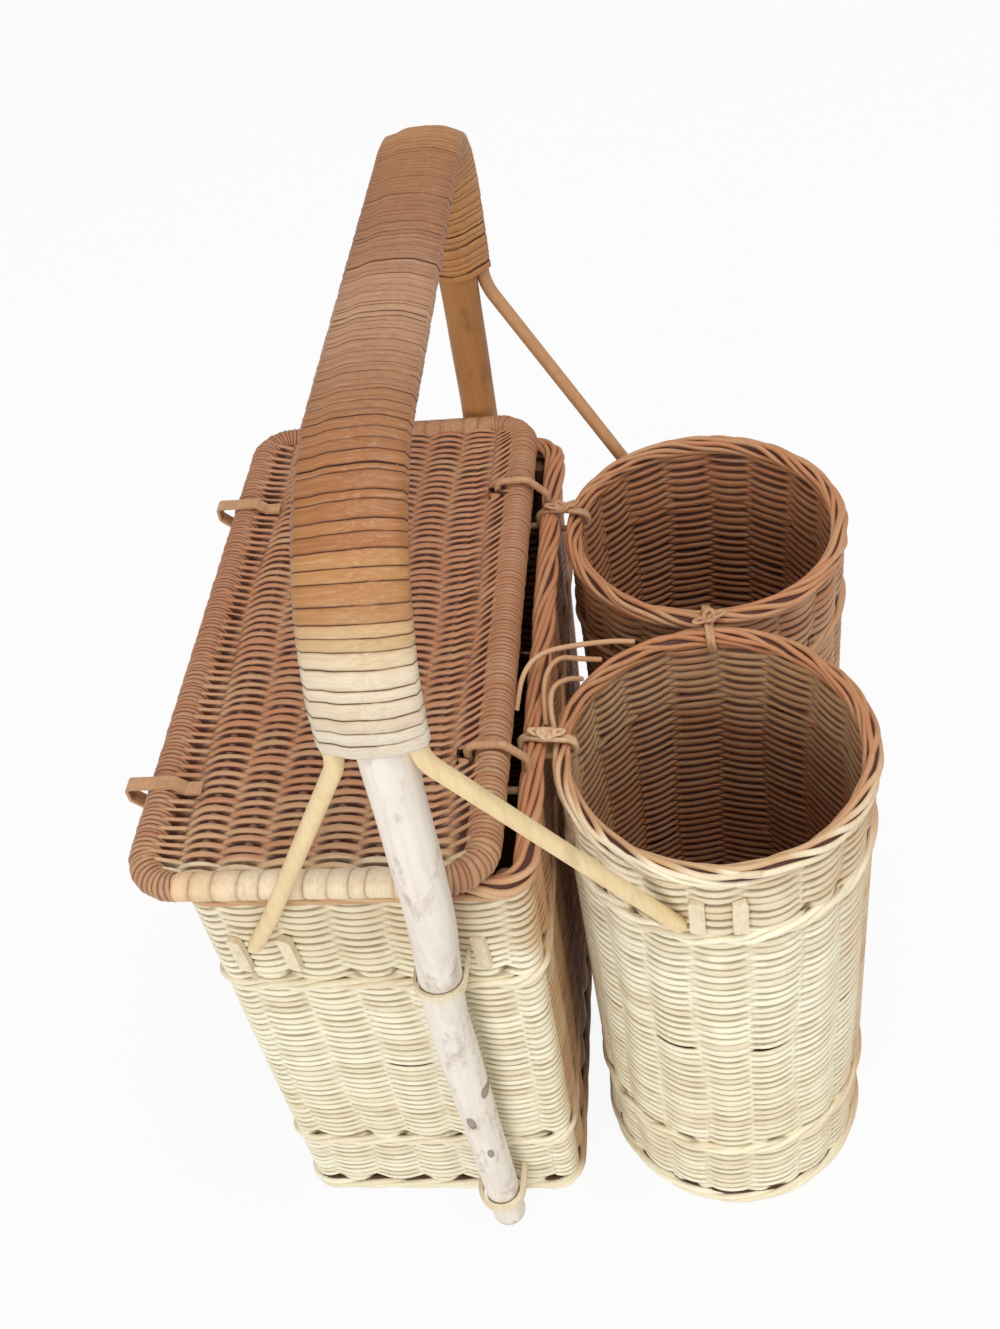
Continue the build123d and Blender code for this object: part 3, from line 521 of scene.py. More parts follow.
def beside(ring, stake, level, offset):
    """Return points at an offset outwards from a ring, and the ring's own place: x, y and direction."""
    place = ring(np.broadcast_to(stake, level.shape), level)
    x, y, face_x, face_y = place
    return np.stack([x + face_x * offset, y + face_y * offset, level], axis=-1), place


def front_lit_and_bleached(place, level):
    """Return how pale the weave is, partly from bleaching and partly as painted light from the front:
    most on what faces the near end, less above the upper wale and where it turns to the right, away
    from that light."""
    _, y, face_x, face_y = place
    # Paler on what faces the near end: painted light from the front, with some bleaching.
    facing = ramp(-face_y, -0.55, 0.55)
    near = ramp(-y, -0.01, 0.10)
    above = 1 - 0.34 * ramp(level, 0.198, 0.226)
    # Painted shade where the weave turns to the right, away from the front light.
    right = 1 - 0.40 * ramp(face_x, 0.35, 1.0)
    return np.clip(0.06 + 0.10 * facing + 0.84 * facing * near * above * right, 0, 1)


def lens_share(stake, shift, cycle):
    """Return how far the gaps over a wale are open: a cosine that peaks once to a stake and is cut
    off at 0, times a slow sine that makes each gap unlike the next."""
    share = np.clip((np.cos(2 * math.pi * (stake - shift)) + 0.35) / 1.35, 0, 1)
    return share * (0.75 + 0.25 * np.sin(cycle * 5 * stake + 9 * shift))


def strand_rows(stake, rows, side, across, wander, lenses, hug, edge_shade, aside=0.0):
    """Return the level in rows, swing, roundness and painted shade of strands from a first to a last
    row, each as (rows, places across a strand, stakes). The swing is cos(pi * (stake + row)), so
    neighbours are out of step. The edge between two rows moves by hug * cos, so that a strand is
    widest where it lies outside and hides the others but for a slit. A section is round,
    sqrt(1 - (2 * place - 1) squared). A lens (row, size, shift) opens a gap by parting the rows,
    and a few slits gape. Diving strands, gaping slits, lens gaps and the rounded edges of a strand
    that lies outwards are darkened as painted shade."""
    first, last = rows
    cycle, loose, gapes = wander
    loose = loose[first : last + 1]
    number = np.arange(first, last + 1)[:, None]
    drift = DRIFT * np.sin(cycle * stake + number / 9) + DRIFT * np.sin(2 * cycle * stake - number / 14)
    wave = sum(np.sin(cycle * turns * stake + loose[:, turns : turns + 1]) for turns in (1, 2, 3))
    beat = np.cos(math.pi * (stake + number - 1) + drift)
    edge = number + hug * side * (1 - 0.85 * aside) * beat + WAVE * wave + JITTER * np.sin(3 * loose[:, 3:])
    swing = np.cos(math.pi * (stake + number[:-1]) + drift[:-1])
    swing = np.sign(swing) * np.abs(swing) ** (1 - 0.6 * aside)
    cell = np.round(stake).astype(int)
    gape = gapes[first:last][:, cell % gapes.shape[1]] * np.cos(math.pi * (stake - cell)) ** 2
    edge[1:] += GAPE_ABOVE * gape
    edge[:-1] -= GAPE_BELOW * gape
    # Painted shade: a strand that dives behind the others is dark, more where its slit gapes.
    dark = ramp(-side * swing, 0.05, 0.55) * (1 + 0.6 * gape)
    for gap, size, shift in lenses:
        share = lens_share(stake, shift, cycle)
        edge = edge + size * share * np.clip(1 - (number - gap - 1) / LENS_FADE, 0, 1) * (number > gap)
        here = number[:-1] == gap
        swing = np.where(here, swing * (1 - share) - share, swing)
        # Painted shade in the lens gaps, on the outside only.
        dark = np.where(here, np.maximum(dark, 1.6 * ramp(share, 0.1, 0.6)) * (side > 0), dark)
    part = across[:, None]
    level = edge[:-1, None] * (1 - part) + edge[1:, None] * part
    swing = np.broadcast_to(swing[:, None], level.shape)
    round_off = 1 - np.sqrt(1 - (2 * part - 1) ** 2)
    swell = 1 - round_off * (0.35 + 0.65 * np.abs(swing))
    # Painted shade at the rounded edges of a strand that lies outwards.
    seam = edge_shade * ramp(side * swing, 0.1, 0.8) * ramp(round_off, 0.35, 0.8)
    return level, swing, swell, np.maximum(dark[:, None], seam)


def loose_ways(total, cells, cycle, seed):
    """Return what strand_rows needs to let rows wander a little and a share of the slits gape."""
    chance = np.random.default_rng(seed)
    cells = (total + 1, cells)
    gapes = np.where(chance.random(cells) < GAPING, chance.uniform(0.5, 1, cells), 0)
    return cycle, chance.uniform(0, 2 * math.pi, (total + 1, 4)), gapes


def folded(outer, inner):
    """Join an outer and an inner sheet into one grid: the outside goes row by row and the inside
    comes back. A sheet is points, dark, tone and pale as (rows, places across, stakes)."""
    sheets = [[value.reshape(-1, *value.shape[2:]) for value in sheet] for sheet in (outer, inner)]
    grid, dark, tone, pale = (np.concatenate([there, back[::-1]]) for there, back in zip(*sheets))
    return [grid], {"dark": [dark], "tone": [tone], "pale": [pale]}


def woven_band(basket, rows, total, lenses, sizes, seed):
    """Weave rows first to last of a wall's total: the radius swings out and in by throw, with the
    strand's round section on it. A strand keeps a tone for a seventh of the round."""
    first, last = rows
    top = basket.wall_top + 1.2 * MM
    chance = np.random.default_rng(seed)
    cycle = 6 * math.pi / basket.stakes
    wander = loose_ways(total, basket.stakes, cycle, seed)
    tones = chance.random((total, 7))
    starts = chance.random(total)[first:last, None]
    stake = np.arange(basket.stakes * sizes.fineness) / sizes.fineness - 0.5
    spell = (np.floor((stake / basket.stakes + starts) * 7) % 7).astype(int)
    tone = np.take_along_axis(tones[first:last], spell, 1)[:, None]
    throw = (basket.thick - sizes.weft) / 2
    sheets = []
    for side, across, hug, edge_shade in ((1, FINE_ACROSS, 0.32, 0.58), (-1, basket.inner, 0.24, 0.7)):
        level, swing, swell, dark = strand_rows(stake, rows, side, across, wander, lenses, hug, edge_shade)
        z = np.clip(WALL_LOW + level * (top - WALL_LOW) / total, WALL_LOW, top)
        offset = throw * swing + side * sizes.weft / 2 * swell - basket.thick / 2
        points, place = beside(basket.ring, stake, z, offset)
        # Painted light inside: the inner sheet is paler near its top at the near end.
        inside = 0.22 * ramp(z, 0.10, 0.25) * ramp(-place[1], -0.05, 0.02)
        pale = front_lit_and_bleached(place, z) if side > 0 else inside
        sheets.append((points, dark, np.broadcast_to(tone, z.shape), pale))
    return folded(*sheets)


def rope(basket, seed):
    """Wind strands round an oval that follows the rim: the offset outwards is half_out * cos and the
    offset upwards is half_level * sin of an angle that advances by turns in one round. A core,
    coloured as painted shade, fills the oval."""
    (out, level), (half_out, half_level), strands, turns, strand = basket.border
    chance = np.random.default_rng(seed)
    stake = np.arange(basket.stakes * 10) / 10 - 0.5
    round_share = (stake + 0.5) / basket.stakes
    number = np.arange(strands)[:, None]
    phase = chance.uniform(0, 2 * math.pi, (strands, 3))
    counts = enumerate((10, 22, 14))
    waves = [np.sin(count * math.pi * round_share + phase[:, [axis]]) for axis, count in counts]
    angle = 2 * math.pi * (number / strands - turns * round_share) + 0.26 * (waves[0] + waves[1])
    squeeze = np.minimum(1 + 0.10 * waves[2], 1.02)
    height = level + half_level * np.sin(angle) * squeeze
    route, place = beside(basket.ring, stake, height, out + half_out * np.cos(angle) * squeeze)
    # Strands are darker where they turn in towards the core: painted shade.
    pale = front_lit_and_bleached(place, height) * (0.40 + 0.60 * ramp(np.cos(angle), -0.3, 0.7))
    pale = pale * (0.55 + 0.45 * ramp(place[0], 0.0, 0.06)) * (0.7 + 0.5 * chance.random((strands, 1)))
    core, _ = beside(basket.ring, stake, np.full_like(stake, level), out)
    grids = list(tube(route, strand / 2, 8, closed=True))
    grids.append(tube(core, min(half_out, half_level) - 0.1 * strand, 8, closed=True))
    # The core takes the darkest painted shade.
    darks = [0.0] * strands + [0.9]
    tones = list(chance.random(strands)) + [0.0]
    pales = [row[:, None] for row in pale] + [0.2]
    return grids, {"dark": darks, "tone": tones, "pale": pales}


def twist(basket, level, out, half, strands, strand, dip, seed, filled=False):
    """Twist strands round the wall, about one turn to as many stakes as there are strands: each
    swings out by the first half * cos and up by the second half * sin of its angle. They sag by
    dip = (depth, shift) where the gaps over a wale stand. A filled twist has a core coloured as
    painted shade."""
    chance = np.random.default_rng(seed)
    stakes = basket.stakes
    stake = np.arange(stakes * 8) / 8 - 0.5
    cycle = 6 * math.pi / stakes
    number = np.arange(strands)[:, None]
    angle = 2 * math.pi * (round(stakes / strands) * stake / stakes + number / strands)
    wave = 0.3 * MM * np.sin(cycle * stake + seed)
    height = level + half[1] * np.sin(angle) + wave - dip[0] * lens_share(stake, dip[1], cycle)
    route, place = beside(basket.ring, stake, height, out + half[0] * np.cos(angle))
    grids = list(tube(route, strand / 2, 8, closed=True))
    # Painted shade on each strand where it turns in towards the wall.
    dark = [row[:, None] for row in 0.8 * ramp(-np.cos(angle), 0.3, 1)]
    tone = list(chance.random(strands))
    pale = [row[:, None] for row in front_lit_and_bleached(place, height * 0)]
    if filled:
        core, _ = beside(basket.ring, stake, np.full_like(stake, level + 1.1 * MM), -3 * MM)
        grids.append(tube(core, 2.5 * MM, 8, closed=True))
        dark.append(0.9)
        tone.append(0.0)
        pale.append(0.3)
    return grids, {"dark": dark, "tone": tone, "pale": pale}


def weave_look(name, colours, shine=0.35):
    """Rattan: cream to brown by how pale it is, which is partly bleaching and partly painted front light;
    painted shade in the slits; streaked and stained.
    """
    look = Look(name)
    coordinates, _ = look.places()
    pale = look.attribute("pale")
    tone = look.attribute("tone")
    dark = look.attribute("dark")
    fine = look.noise(look.stretched(coordinates, (300, 300, 1500)), 1.0, 2.0)
    broad = look.noise(coordinates, 24.0, 3.0)
    stain = look.noise(coordinates, 9.0, 2.0)
    shift = (pale + (tone - 0.5) * 0.26 + (broad - 0.5) * 0.42).clamp()
    body = look.ramp(shift, [(0.0, colours.brown), (0.42, colours.tan), (0.80, colours.cream)])
    body = look.dim(((tone - 0.4) * 1.2 + (fine - 0.45) * 1.2).clamp() * 0.6, body, (0.74, 0.62, 0.50))
    body = look.dim(((stain - 0.50) * 4.0).clamp() * 0.55, body, (0.84, 0.76, 0.60))
    body = look.mix(((0.44 - stain) * 4.0).clamp() * pale.span(0.6, 1.0) * 0.5, body, (0.92, 0.90, 0.86))
    # The slit colours are painted shade between the strands, darker still in the lens gaps over the wales.
    slit = look.mix(pale.span(0.30, 0.95), colours.gap, colours.pale_gap)
    slit = look.mix(dark.span(1.0, 1.5) * 0.8, slit, (0.10, 0.06, 0.025))
    look.set(
        Base_Color=look.mix(dark.span(0.0, 0.9), body, slit),
        Roughness=0.56 - 0.12 * fine,
        Normal=look.bump(fine, 0.30, 0.0004),
        Specular_IOR_Level=shine,
    )
    return look.material


def rod_look(name, light, dark, mottling, knots=()):
    """Rattan rod: light at the near end and dark at the far one, with streaks along its length,
    mottled skin and knots where (x, z, width, height) say."""
    look = Look(name)
    coordinates, (x, y, z) = look.places()
    streak = look.noise(look.stretched(coordinates, (420, 420, 22)), 1.0, 4.0, 0.62)
    mottle = look.noise(look.stretched(coordinates, (110, 110, 50)), 1.0, 5.0, 0.68)
    patch = look.noise(look.stretched(coordinates, (30, 30, 14)), 1.0, 3.0)
    far = y.span(-0.02, 0.06)
    base = look.mix(far, light, dark)
    base = look.dim(((streak - 0.45) * 3.2).clamp() * 0.50, base, (0.78, 0.66, 0.54))
    base = look.dim(((mottle - 0.55) * 6.0).clamp() * mottling, base, (0.58, 0.53, 0.50))
    base = look.dim(((patch - 0.50) * 4.0).clamp() * 0.6 * mottling, base, (0.80, 0.77, 0.74))
    near = (0.0 - y).span(0.05, 0.08)
    for knot_x, knot_z, wide, high in knots:
        apart = ((x - knot_x) * (1 / wide)) ** 2.0 + ((z - knot_z) * (1 / high)) ** 2.0
        ring = (1.0 - apart.span(0.0, 1.0)) * near
        base = look.mix(ring.span(0.05, 0.55) * 0.85, base, (0.13, 0.085, 0.055))
        base = look.mix(ring.span(0.55, 0.85) * 0.75, base, (0.42, 0.33, 0.25))
    look.set(Base_Color=base, Roughness=0.45 + 0.25 * mottle, Normal=look.bump(streak + mottle, 0.35, 0.0006))
    return look.material


def cane_look(name, stops):
    """Flat cane: its colour by its share of the way along, streaked along each strip, with painted
    shade at the edges of each turn and in its seams."""
    look = Look(name)
    share = look.attribute("share")
    tone = look.attribute("tone")
    dark = look.attribute("dark")
    around = look.attribute("around")
    along = look.attribute("along")
    strip = look.joined(around * 9.0, along * 1500.0, tone * 60.0)
    streak = look.noise(strip, 1.0, 3.0, 0.6)
    grain = look.noise(look.joined(around * 130.0, along * 260.0, tone * 40.0), 1.0, 2.0)
    stain = look.noise(look.joined(around * 5.0, along * 160.0, tone * 9.0), 1.0, 3.0)
    body = look.ramp((share + (tone - 0.5) * 0.03).clamp(), stops)
    body = look.dim((tone - 0.5).clamp() * 0.7, body, (0.76, 0.66, 0.56))
    body = look.dim(((streak - 0.48) * 3.5).clamp() * 0.55, body, (0.74, 0.60, 0.48))
    body = look.dim(((stain - 0.52) * 3.0).clamp() * 0.5, body, (0.78, 0.64, 0.50))
    body = look.mix(((0.46 - streak) * 3.0).clamp() * 0.25, body, (0.93, 0.80, 0.62))
    # The dark attribute is painted shade: an uneven share of it dims the body and nearly blackens gaping
    # seams.
    uneven = look.noise(look.joined(around * 2.2, along * 330.0, tone * 31.0), 1.0, 2.0)
    dark = dark * uneven.span(0.26, 0.54)
    seam = look.mix(dark.span(0.45, 0.9), look.dim(1.0, body, (0.36, 0.22, 0.13)), (0.05, 0.018, 0.008))
    look.set(
        Base_Color=look.mix(dark.span(0.0, 0.5), body, seam),
        Roughness=0.42 + 0.22 * streak,
        Normal=look.bump(streak + grain * 0.5, 0.30, 0.0003),
        Specular_IOR_Level=0.45,
    )
    return look.material


def strap_look(name, light, dark):
    """Flat cane on small straps: streaked skin on object coordinates."""
    look = Look(name)
    coordinates, _ = look.places()
    streak = look.noise(look.stretched(coordinates, (700, 260, 260)), 1.0, 3.0)
    blotch = look.noise(coordinates, 140.0, 2.0)
    body = look.mix(((streak - 0.35) * 2.0).clamp() * 0.8, light, dark)
    look.set(
        Base_Color=look.dim(((blotch - 0.5) * 3.0).clamp() * 0.5, body, (0.70, 0.58, 0.46)),
        Roughness=0.45 + 0.2 * streak,
        Normal=look.bump(streak, 0.3, 0.0003),
    )
    return look.material


class BASKET_OT_walls(bpy.types.Operator):
    """Weave the walls of the hamper and of the bottle baskets"""

    bl_idname = "basket.walls"
    bl_label = "Weave Walls"

    def execute(self, context):
        """Weave each wall as four bands, which meet at its wales and halfway between them."""
        sizes = context.scene.basket_weave
        material = weave_look("woven_rattan", context.scene.basket_colours)
        for number, basket in enumerate(three_baskets(sizes)):
            total = int(round((basket.wall_top - WALL_LOW) / sizes.pitch))
            pitch = (basket.wall_top - WALL_LOW) / total
            lenses = [(0, 0.25, basket.shifts["lower"])]
            wales = []
            for part, shift in basket.shifts.items():
                node = f"{basket.name}_{part}_wale"
                wales.append(int(round((centre_of(node, 2) - WALL_LOW) / pitch)))
                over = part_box(node)[1].z - 0.8 * MM
                lenses.append((int(round((over - WALL_LOW) / pitch)), 0.5, shift))
            cuts = [0, wales[0], sum(wales) // 2, wales[1], total]
            for part, *rows in zip(("foot", "lower", "upper", "mouth"), cuts[:-1], cuts[1:]):
                grids, attributes = woven_band(basket, rows, total, lenses, sizes, 11 + number)
                nodes = (f"{basket.name}_wall",) if part == "lower" else ()
                piece = f"{basket.name}_{part}_weave"
                grid_piece(piece, "basket", material, grids, attributes, nodes)
        return {"FINISHED"}


class BASKET_OT_borders(bpy.types.Operator):
    """Plait the borders and feet and wind the wales"""

    bl_idname = "basket.borders"
    bl_label = "Plait Borders"

    def execute(self, context):
        sizes = context.scene.basket_weave
        material = weave_look("plaited_rattan", context.scene.basket_colours)
        foot_half = (1.4 * MM, 1.7 * MM)
        wale_half = (1.1 * MM, 2.0 * MM)
        for number, basket in enumerate(three_baskets(sizes)):
            foot = twist(basket, 3.5 * MM, -1.3 * MM, foot_half, 4, 3.1 * MM, (0, 0.5), 40 + number, True)
            border = rope(basket, 30 + number)
            windings = [("border", "plaited_border", border), ("foot", "foot_strands", foot)]
            for part in ("upper", "lower"):
                level = centre_of(f"{basket.name}_{part}_wale", 2) - 0.2 * MM
                dip = (1.5 * MM, basket.shifts[part])
                wale = twist(basket, level, -1.1 * MM, wale_half, 3, sizes.wale_strand, dip, 50 + number)
                windings.append((f"{part}_wale", f"{part}_wale_strands", wale))
            for node, piece, (grids, attributes) in windings:
                piece = f"{basket.name}_{piece}"
                nodes = (f"{basket.name}_{node}",)
                grid_piece(piece, "basket", material, grids, attributes, nodes)
        self.loose_ends(material)
        return {"FINISHED"}

    def loose_ends(self, material):
        """Strand ends that have sprung out of the borders where the baskets meet, in millimetres."""
        ways = (
            ((47, -9, 257), (40, -12, 261), (27, -18, 266), (12, -24, 269), (5, -33, 267), (2.6, -45, 259)),
            ((34, -18, 257), (27, -22, 262), (18, -25, 267), (13, -36, 266), (14, -51, 257)),
            ((27, -28, 257), (23, -32, 262), (17, -38, 265), (16, -47, 264), (18, -57, 257)),
        )
        grids = [tube(softened(np.array(way) * MM), 1.05 * MM, 8) for way in ways]
        attributes = {"dark": [0.0] * 3, "tone": [0.2, 0.5, 0.8], "pale": [0.36, 0.2, 0.25]}
        grid_piece("loose_ends", "basket", material, grids, attributes, (), CAPPED)


class BASKET_OT_lid(bpy.types.Operator):
    """Weave the lid, turn its wefts round the side bars and bind its end bars"""

    bl_idname = "basket.lid"
    bl_label = "Weave Lid"

    def execute(self, context):
        sizes = context.scene.basket_weave
        colours = context.scene.basket_colours
        material = weave_look("woven_lid", colours, 0.5)
        self.plate(sizes, material)
        self.side_turns(sizes, material)
        cream = colours.bar_cream
        near = [(0.0, colours.bar_tan), (0.35, cream), (0.8, cream), (1.0, colours.bar_brown)]
        far = [(0.0, colours.far_bar), (1.0, colours.far_bar_tan)]
        lid_cane = context.scene.basket_handle.lid_cane
        self.bound_bar("near", -1, lid_cane, cane_look("near_bar_cane", near), 80)
        self.bound_bar("far", 1, lid_cane, cane_look("far_bar_cane", far), 81)
        return {"FINISHED"}

    def plate(self, sizes, material):
        """The lid's plate: the height swings up and down like a wall's offset, and swings wider
        towards the side bars, over and under which the rows turn. Past the outer sticks the rows
        lean towards the near end on the left and towards the far end on the right."""
        end = LID_END - 3.0 * MM
        rows = int(round(2 * end / sizes.lid_pitch))
        sticks = sizes.lid_sticks
        first = LID_MIDDLE - (sticks - 1) / 2 * sizes.stick_gap
        left = first - sizes.stick_gap / 2
        right = first + (sticks - 0.5) * sizes.stick_gap
        stake = np.linspace(-1, sticks, (sticks + 1) * 9 + 1)
        x = np.interp(stake, [-1, -0.5, sticks - 0.5, sticks], [LID_LEFT, left, right, LID_RIGHT])
        lean = np.interp(stake, [-1, -0.2, sticks - 0.9, sticks], [-4.5 * MM, 0, 0, 8.5 * MM])
        apart = np.abs(stake - (sticks - 1) / 2) - sticks / 2
        aside = ramp(apart, -0.25, 0.2)
        throw = 1.95 * MM + 3.1 * MM * ramp(apart, 0.05, 0.5)
        wander = loose_ways(rows, sticks + 2, 0.9, 70)
        tones = np.random.default_rng(71).random((rows, 3))
        tone = tones[:, np.arange(len(x)) * 3 // len(x)][:, None]
        sheets = []
        for side, across in ((1, FINE_ACROSS), (-1, COARSE_ACROSS)):
            woven = strand_rows(stake, (0, rows), side, across, wander, (), 0.20, 0.85, aside)
            level, swing, swell, dark = woven
            y = level / rows * 2 * end - end
            y = np.clip(y + lean * (1 - ramp(np.abs(y), end - 22 * MM, end)), -end, end)
            z = LID_LEVEL + throw * swing + side * sizes.weft / 2 * swell
            curve = np.clip(np.abs(y) - (LID_END - LID_BEND), 0, LID_BEND)
            limit = (LID_RIGHT - LID_LEFT) / 2 - LID_BEND + np.sqrt(LID_BEND**2 - curve**2)
            wide = LID_MIDDLE + np.clip(np.broadcast_to(x, y.shape) - LID_MIDDLE, -limit, limit)
            wide = self.notched(wide, y)
            pale = 0.02 + 0.15 * ramp(-y, 0.02, 0.115) + 0.35 * ramp(-y, 0.1155, 0.1185)
            pale = pale + 0.05 * ramp(LID_MIDDLE - wide, -0.02, 0.06)
            points = np.stack([wide, y, z], axis=-1)
            sheets.append((points, dark, np.broadcast_to(tone, y.shape), pale))
        grids, attributes = folded(*sheets)
        nodes = ("lid_weave",)
        grid_piece("lid_weft", "lid", material, grids, attributes, nodes, (True, False))

    def notched(self, x, y):
        """Dip the plate's edge inwards where the hinge loops pass."""
        limit = LID_RIGHT - 12.4 * MM
        for node in ("near_hinge_loop", "far_hinge_loop"):
            low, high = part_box(node)
            half = (high.y - low.y) / 2
            beside_loop = 1 - ramp(np.abs(y - centre_of(node, 1)), half + 0.3 * MM, half + 1.6 * MM)
            x = np.where(x > limit, x + (limit - x) * beside_loop, x)
        return x

    def side_turns(self, sizes, material):
        """Wefts turned round a side bar and its two bends: the radius is a round rib for each weft,
        and shrinks towards the bound end bars."""
        across = np.array([0.02, 0.25, 0.5, 0.75, 0.98])
        upward = np.array([0, 0, 1.0])
        turn = -circle(20)
        for name, bar, side, seed in (("left", LID_LEFT, -1, 75), ("right", LID_RIGHT, 1, 76)):
            chance = np.random.default_rng(seed)
            inner = bar - side * (LID_BEND + 0.3 * MM)
            corners = [(inner, -LID_END), (bar, -LID_END), (bar, LID_END), (inner, LID_END)]
            corners = [(x, y, LID_LEVEL) for x, y in corners]
            fine, along = bent_route(corners, (LID_BEND, LID_BEND), 0.5 * MM)
            ribs = int(round(along[-1] / (0.95 * sizes.lid_pitch)))
            edges = np.arange(ribs) + 0.15 * chance.standard_normal(ribs)
            edges = np.concatenate([[0], edges[1:], [ribs]]) * along[-1] / ribs
            place = (edges[:-1, None] * (1 - across) + edges[1:, None] * across).ravel()
            rib = np.repeat(np.arange(ribs), len(across))
            swell = np.tile(np.sqrt(1 - (2 * across - 1) ** 2), ribs)
            full = 5.3 * MM + 1.25 * MM * ramp(np.minimum(place, along[-1] - place), 0, 0.024)
            radius = full - 0.75 * MM * (1 - swell) + 0.12 * MM * chance.standard_normal(ribs)[rib]
            route = at_places(fine, along, place)
            ahead = at_places(directions(fine), along, place)
            out = np.cross(ahead, upward)
            ring = np.cos(turn)[:, None] * out[:, None] + np.sin(turn)[:, None] * upward
            slant = 0.5 * sizes.lid_pitch * np.sin(turn)[None, :, None] * ahead[:, None]
            grid = route[:, None] + radius[:, None, None] * ring + slant
            # Painted shade: every rib a little, its edges more, and the left bar more than the right.
            attributes = {
                "dark": [0.12 + (0.6 - 0.12 * side) * ramp(1 - swell, 0.35, 0.8)[:, None]],
                "tone": [chance.random(ribs)[rib][:, None]],
                "pale": [0.02 + 0.14 * ramp(-grid[..., 1], 0.02, 0.12) + 0.02 * side],
            }
            piece = f"lid_{name}_side_turns"
            grid_piece(piece, "lid", material, [grid], attributes, (), CAPPED)

    def bound_bar(self, name, side, cane, material, seed):
        """Flat cane wound round an end bar: turns of uneven width, each slightly crowned. The rows
        run from right to left, which keeps the faces outwards."""
        node = f"lid_{name}_binding"
        low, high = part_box(node)
        total = high.x - low.x
        place, _, crown, seam, tone = (
            values[::-1] for values in wound_turns(total, [(0, cane), (1, cane)], 0.4, 0.0, seed)
        )
        around = circle(24)
        radius = (4.95 * MM + 0.3 * MM * crown)[:, None]
        x = low.x + place[:, None] + 0.8 * MM * np.cos(around)
        y = side * LID_END + radius * np.cos(around)
        z = LID_LEVEL - radius * np.sin(around)
        grid = np.stack([x, y, z], axis=-1)
        # Painted shade towards the edges of each turn.
        dark = 0.42 * (1 - crown) + seam
        share = place / total
        attributes = cane_values(np.sin(around / 2), dark=dark, tone=tone, share=share, along=place)
        grid_piece(f"lid_{name}_bound_bar", "lid", material, [grid], attributes, (node,), CAPPED)


def wound_turns(total, widths, spread, gaping, seed):
    """Split a length into turns of uneven width, which widths gives as (share, width) pairs. Return,
    at seven places across each turn, how far along it lies, the turn's number, how high its crown
    stands (0 at an edge, 1 in the middle), how far its seam gapes and the turn's own tone."""
    chance = np.random.default_rng(seed)
    shares, sizes = zip(*widths)
    count = int(round(total * np.mean(1 / np.interp(np.linspace(0, 1, 200), shares, sizes))))
    way = np.linspace(0, 1, 400)
    filled = np.cumsum(1 / np.interp(way, shares, sizes))
    ends = np.interp(np.arange(count + 1) / count, (filled - filled[0]) / (filled[-1] - filled[0]), way)
    uneven = spread * 0.5 * chance.uniform(-1, 1, count + 1) / count
    uneven[0] = uneven[-1] = 0
    ends = (ends + uneven) * total
    gapes = np.where(chance.random(count) < gaping, 1.0, 0.0)[:, None]
    across = np.array([0.002, 0.05, 0.14, 0.5, 0.86, 0.95, 0.998])
    across = across + gapes * np.array([0, 0, 0, -0.06, -0.14, -0.15, 0])
    crown = np.array([0.0, 0.55, 0.85, 1.0, 0.85, 0.55, 0.0])
    seam = gapes * np.array([0, 0, 0, 0, 0, 0.8, 1.0])
    place = (ends[:-1, None] * (1 - across) + ends[1:, None] * across).ravel()
    number = np.repeat(np.arange(count), len(crown))
    return place, number, np.tile(crown, count), seam.ravel(), chance.random(count)[number]


def cane_values(around, **along_route):
    """Return the values that a cane look reads: one round the section, the others along the route."""
    return {"around": [around], **{key: [values[:, None]] for key, values in along_route.items()}}


def arch_point(y, level):
    """Return a point of the handle's arch: x gains the lean times the height over the arch's foot,
    and loses the skew times y."""
    return (ARCH_X + ARCH_LEAN * (level - ARCH_FOOT) - ARCH_SKEW * y, y, level)


def hull_section(count):
    """Return the outline of the winding round the pole and the rods, as (across, outwards) points:
    in each direction, the nearest of all the lines that touch the three circles. Its top and
    bottom are softened, where the cane bridges from circle to circle."""
    turn = circle(count)
    turn = turn + 0.24 * np.sin(2 * turn)
    outward = np.stack([np.cos(turn), np.sin(turn)], axis=-1)
    dense = np.linspace(0, 2 * math.pi, 1440, endpoint=False)
    normal = np.stack([np.cos(dense), np.sin(dense)], axis=-1)
    support = (normal @ WRAPPED[:, :2].T + WRAPPED[:, 2] + WRAP_THICK).max(axis=1)
    facing = outward @ normal.T
    reach = np.where(facing > 0.02, support / np.maximum(facing, 1e-6), np.inf).min(axis=1)
    soft = reach
    for _ in range(8):
        soft = (np.roll(soft, 1) + 2 * soft + np.roll(soft, -1)) / 4
    reach = reach + (soft - reach) * ramp(np.abs(outward[:, 1]), 0.45, 0.75)
    return outward * reach[:, None]


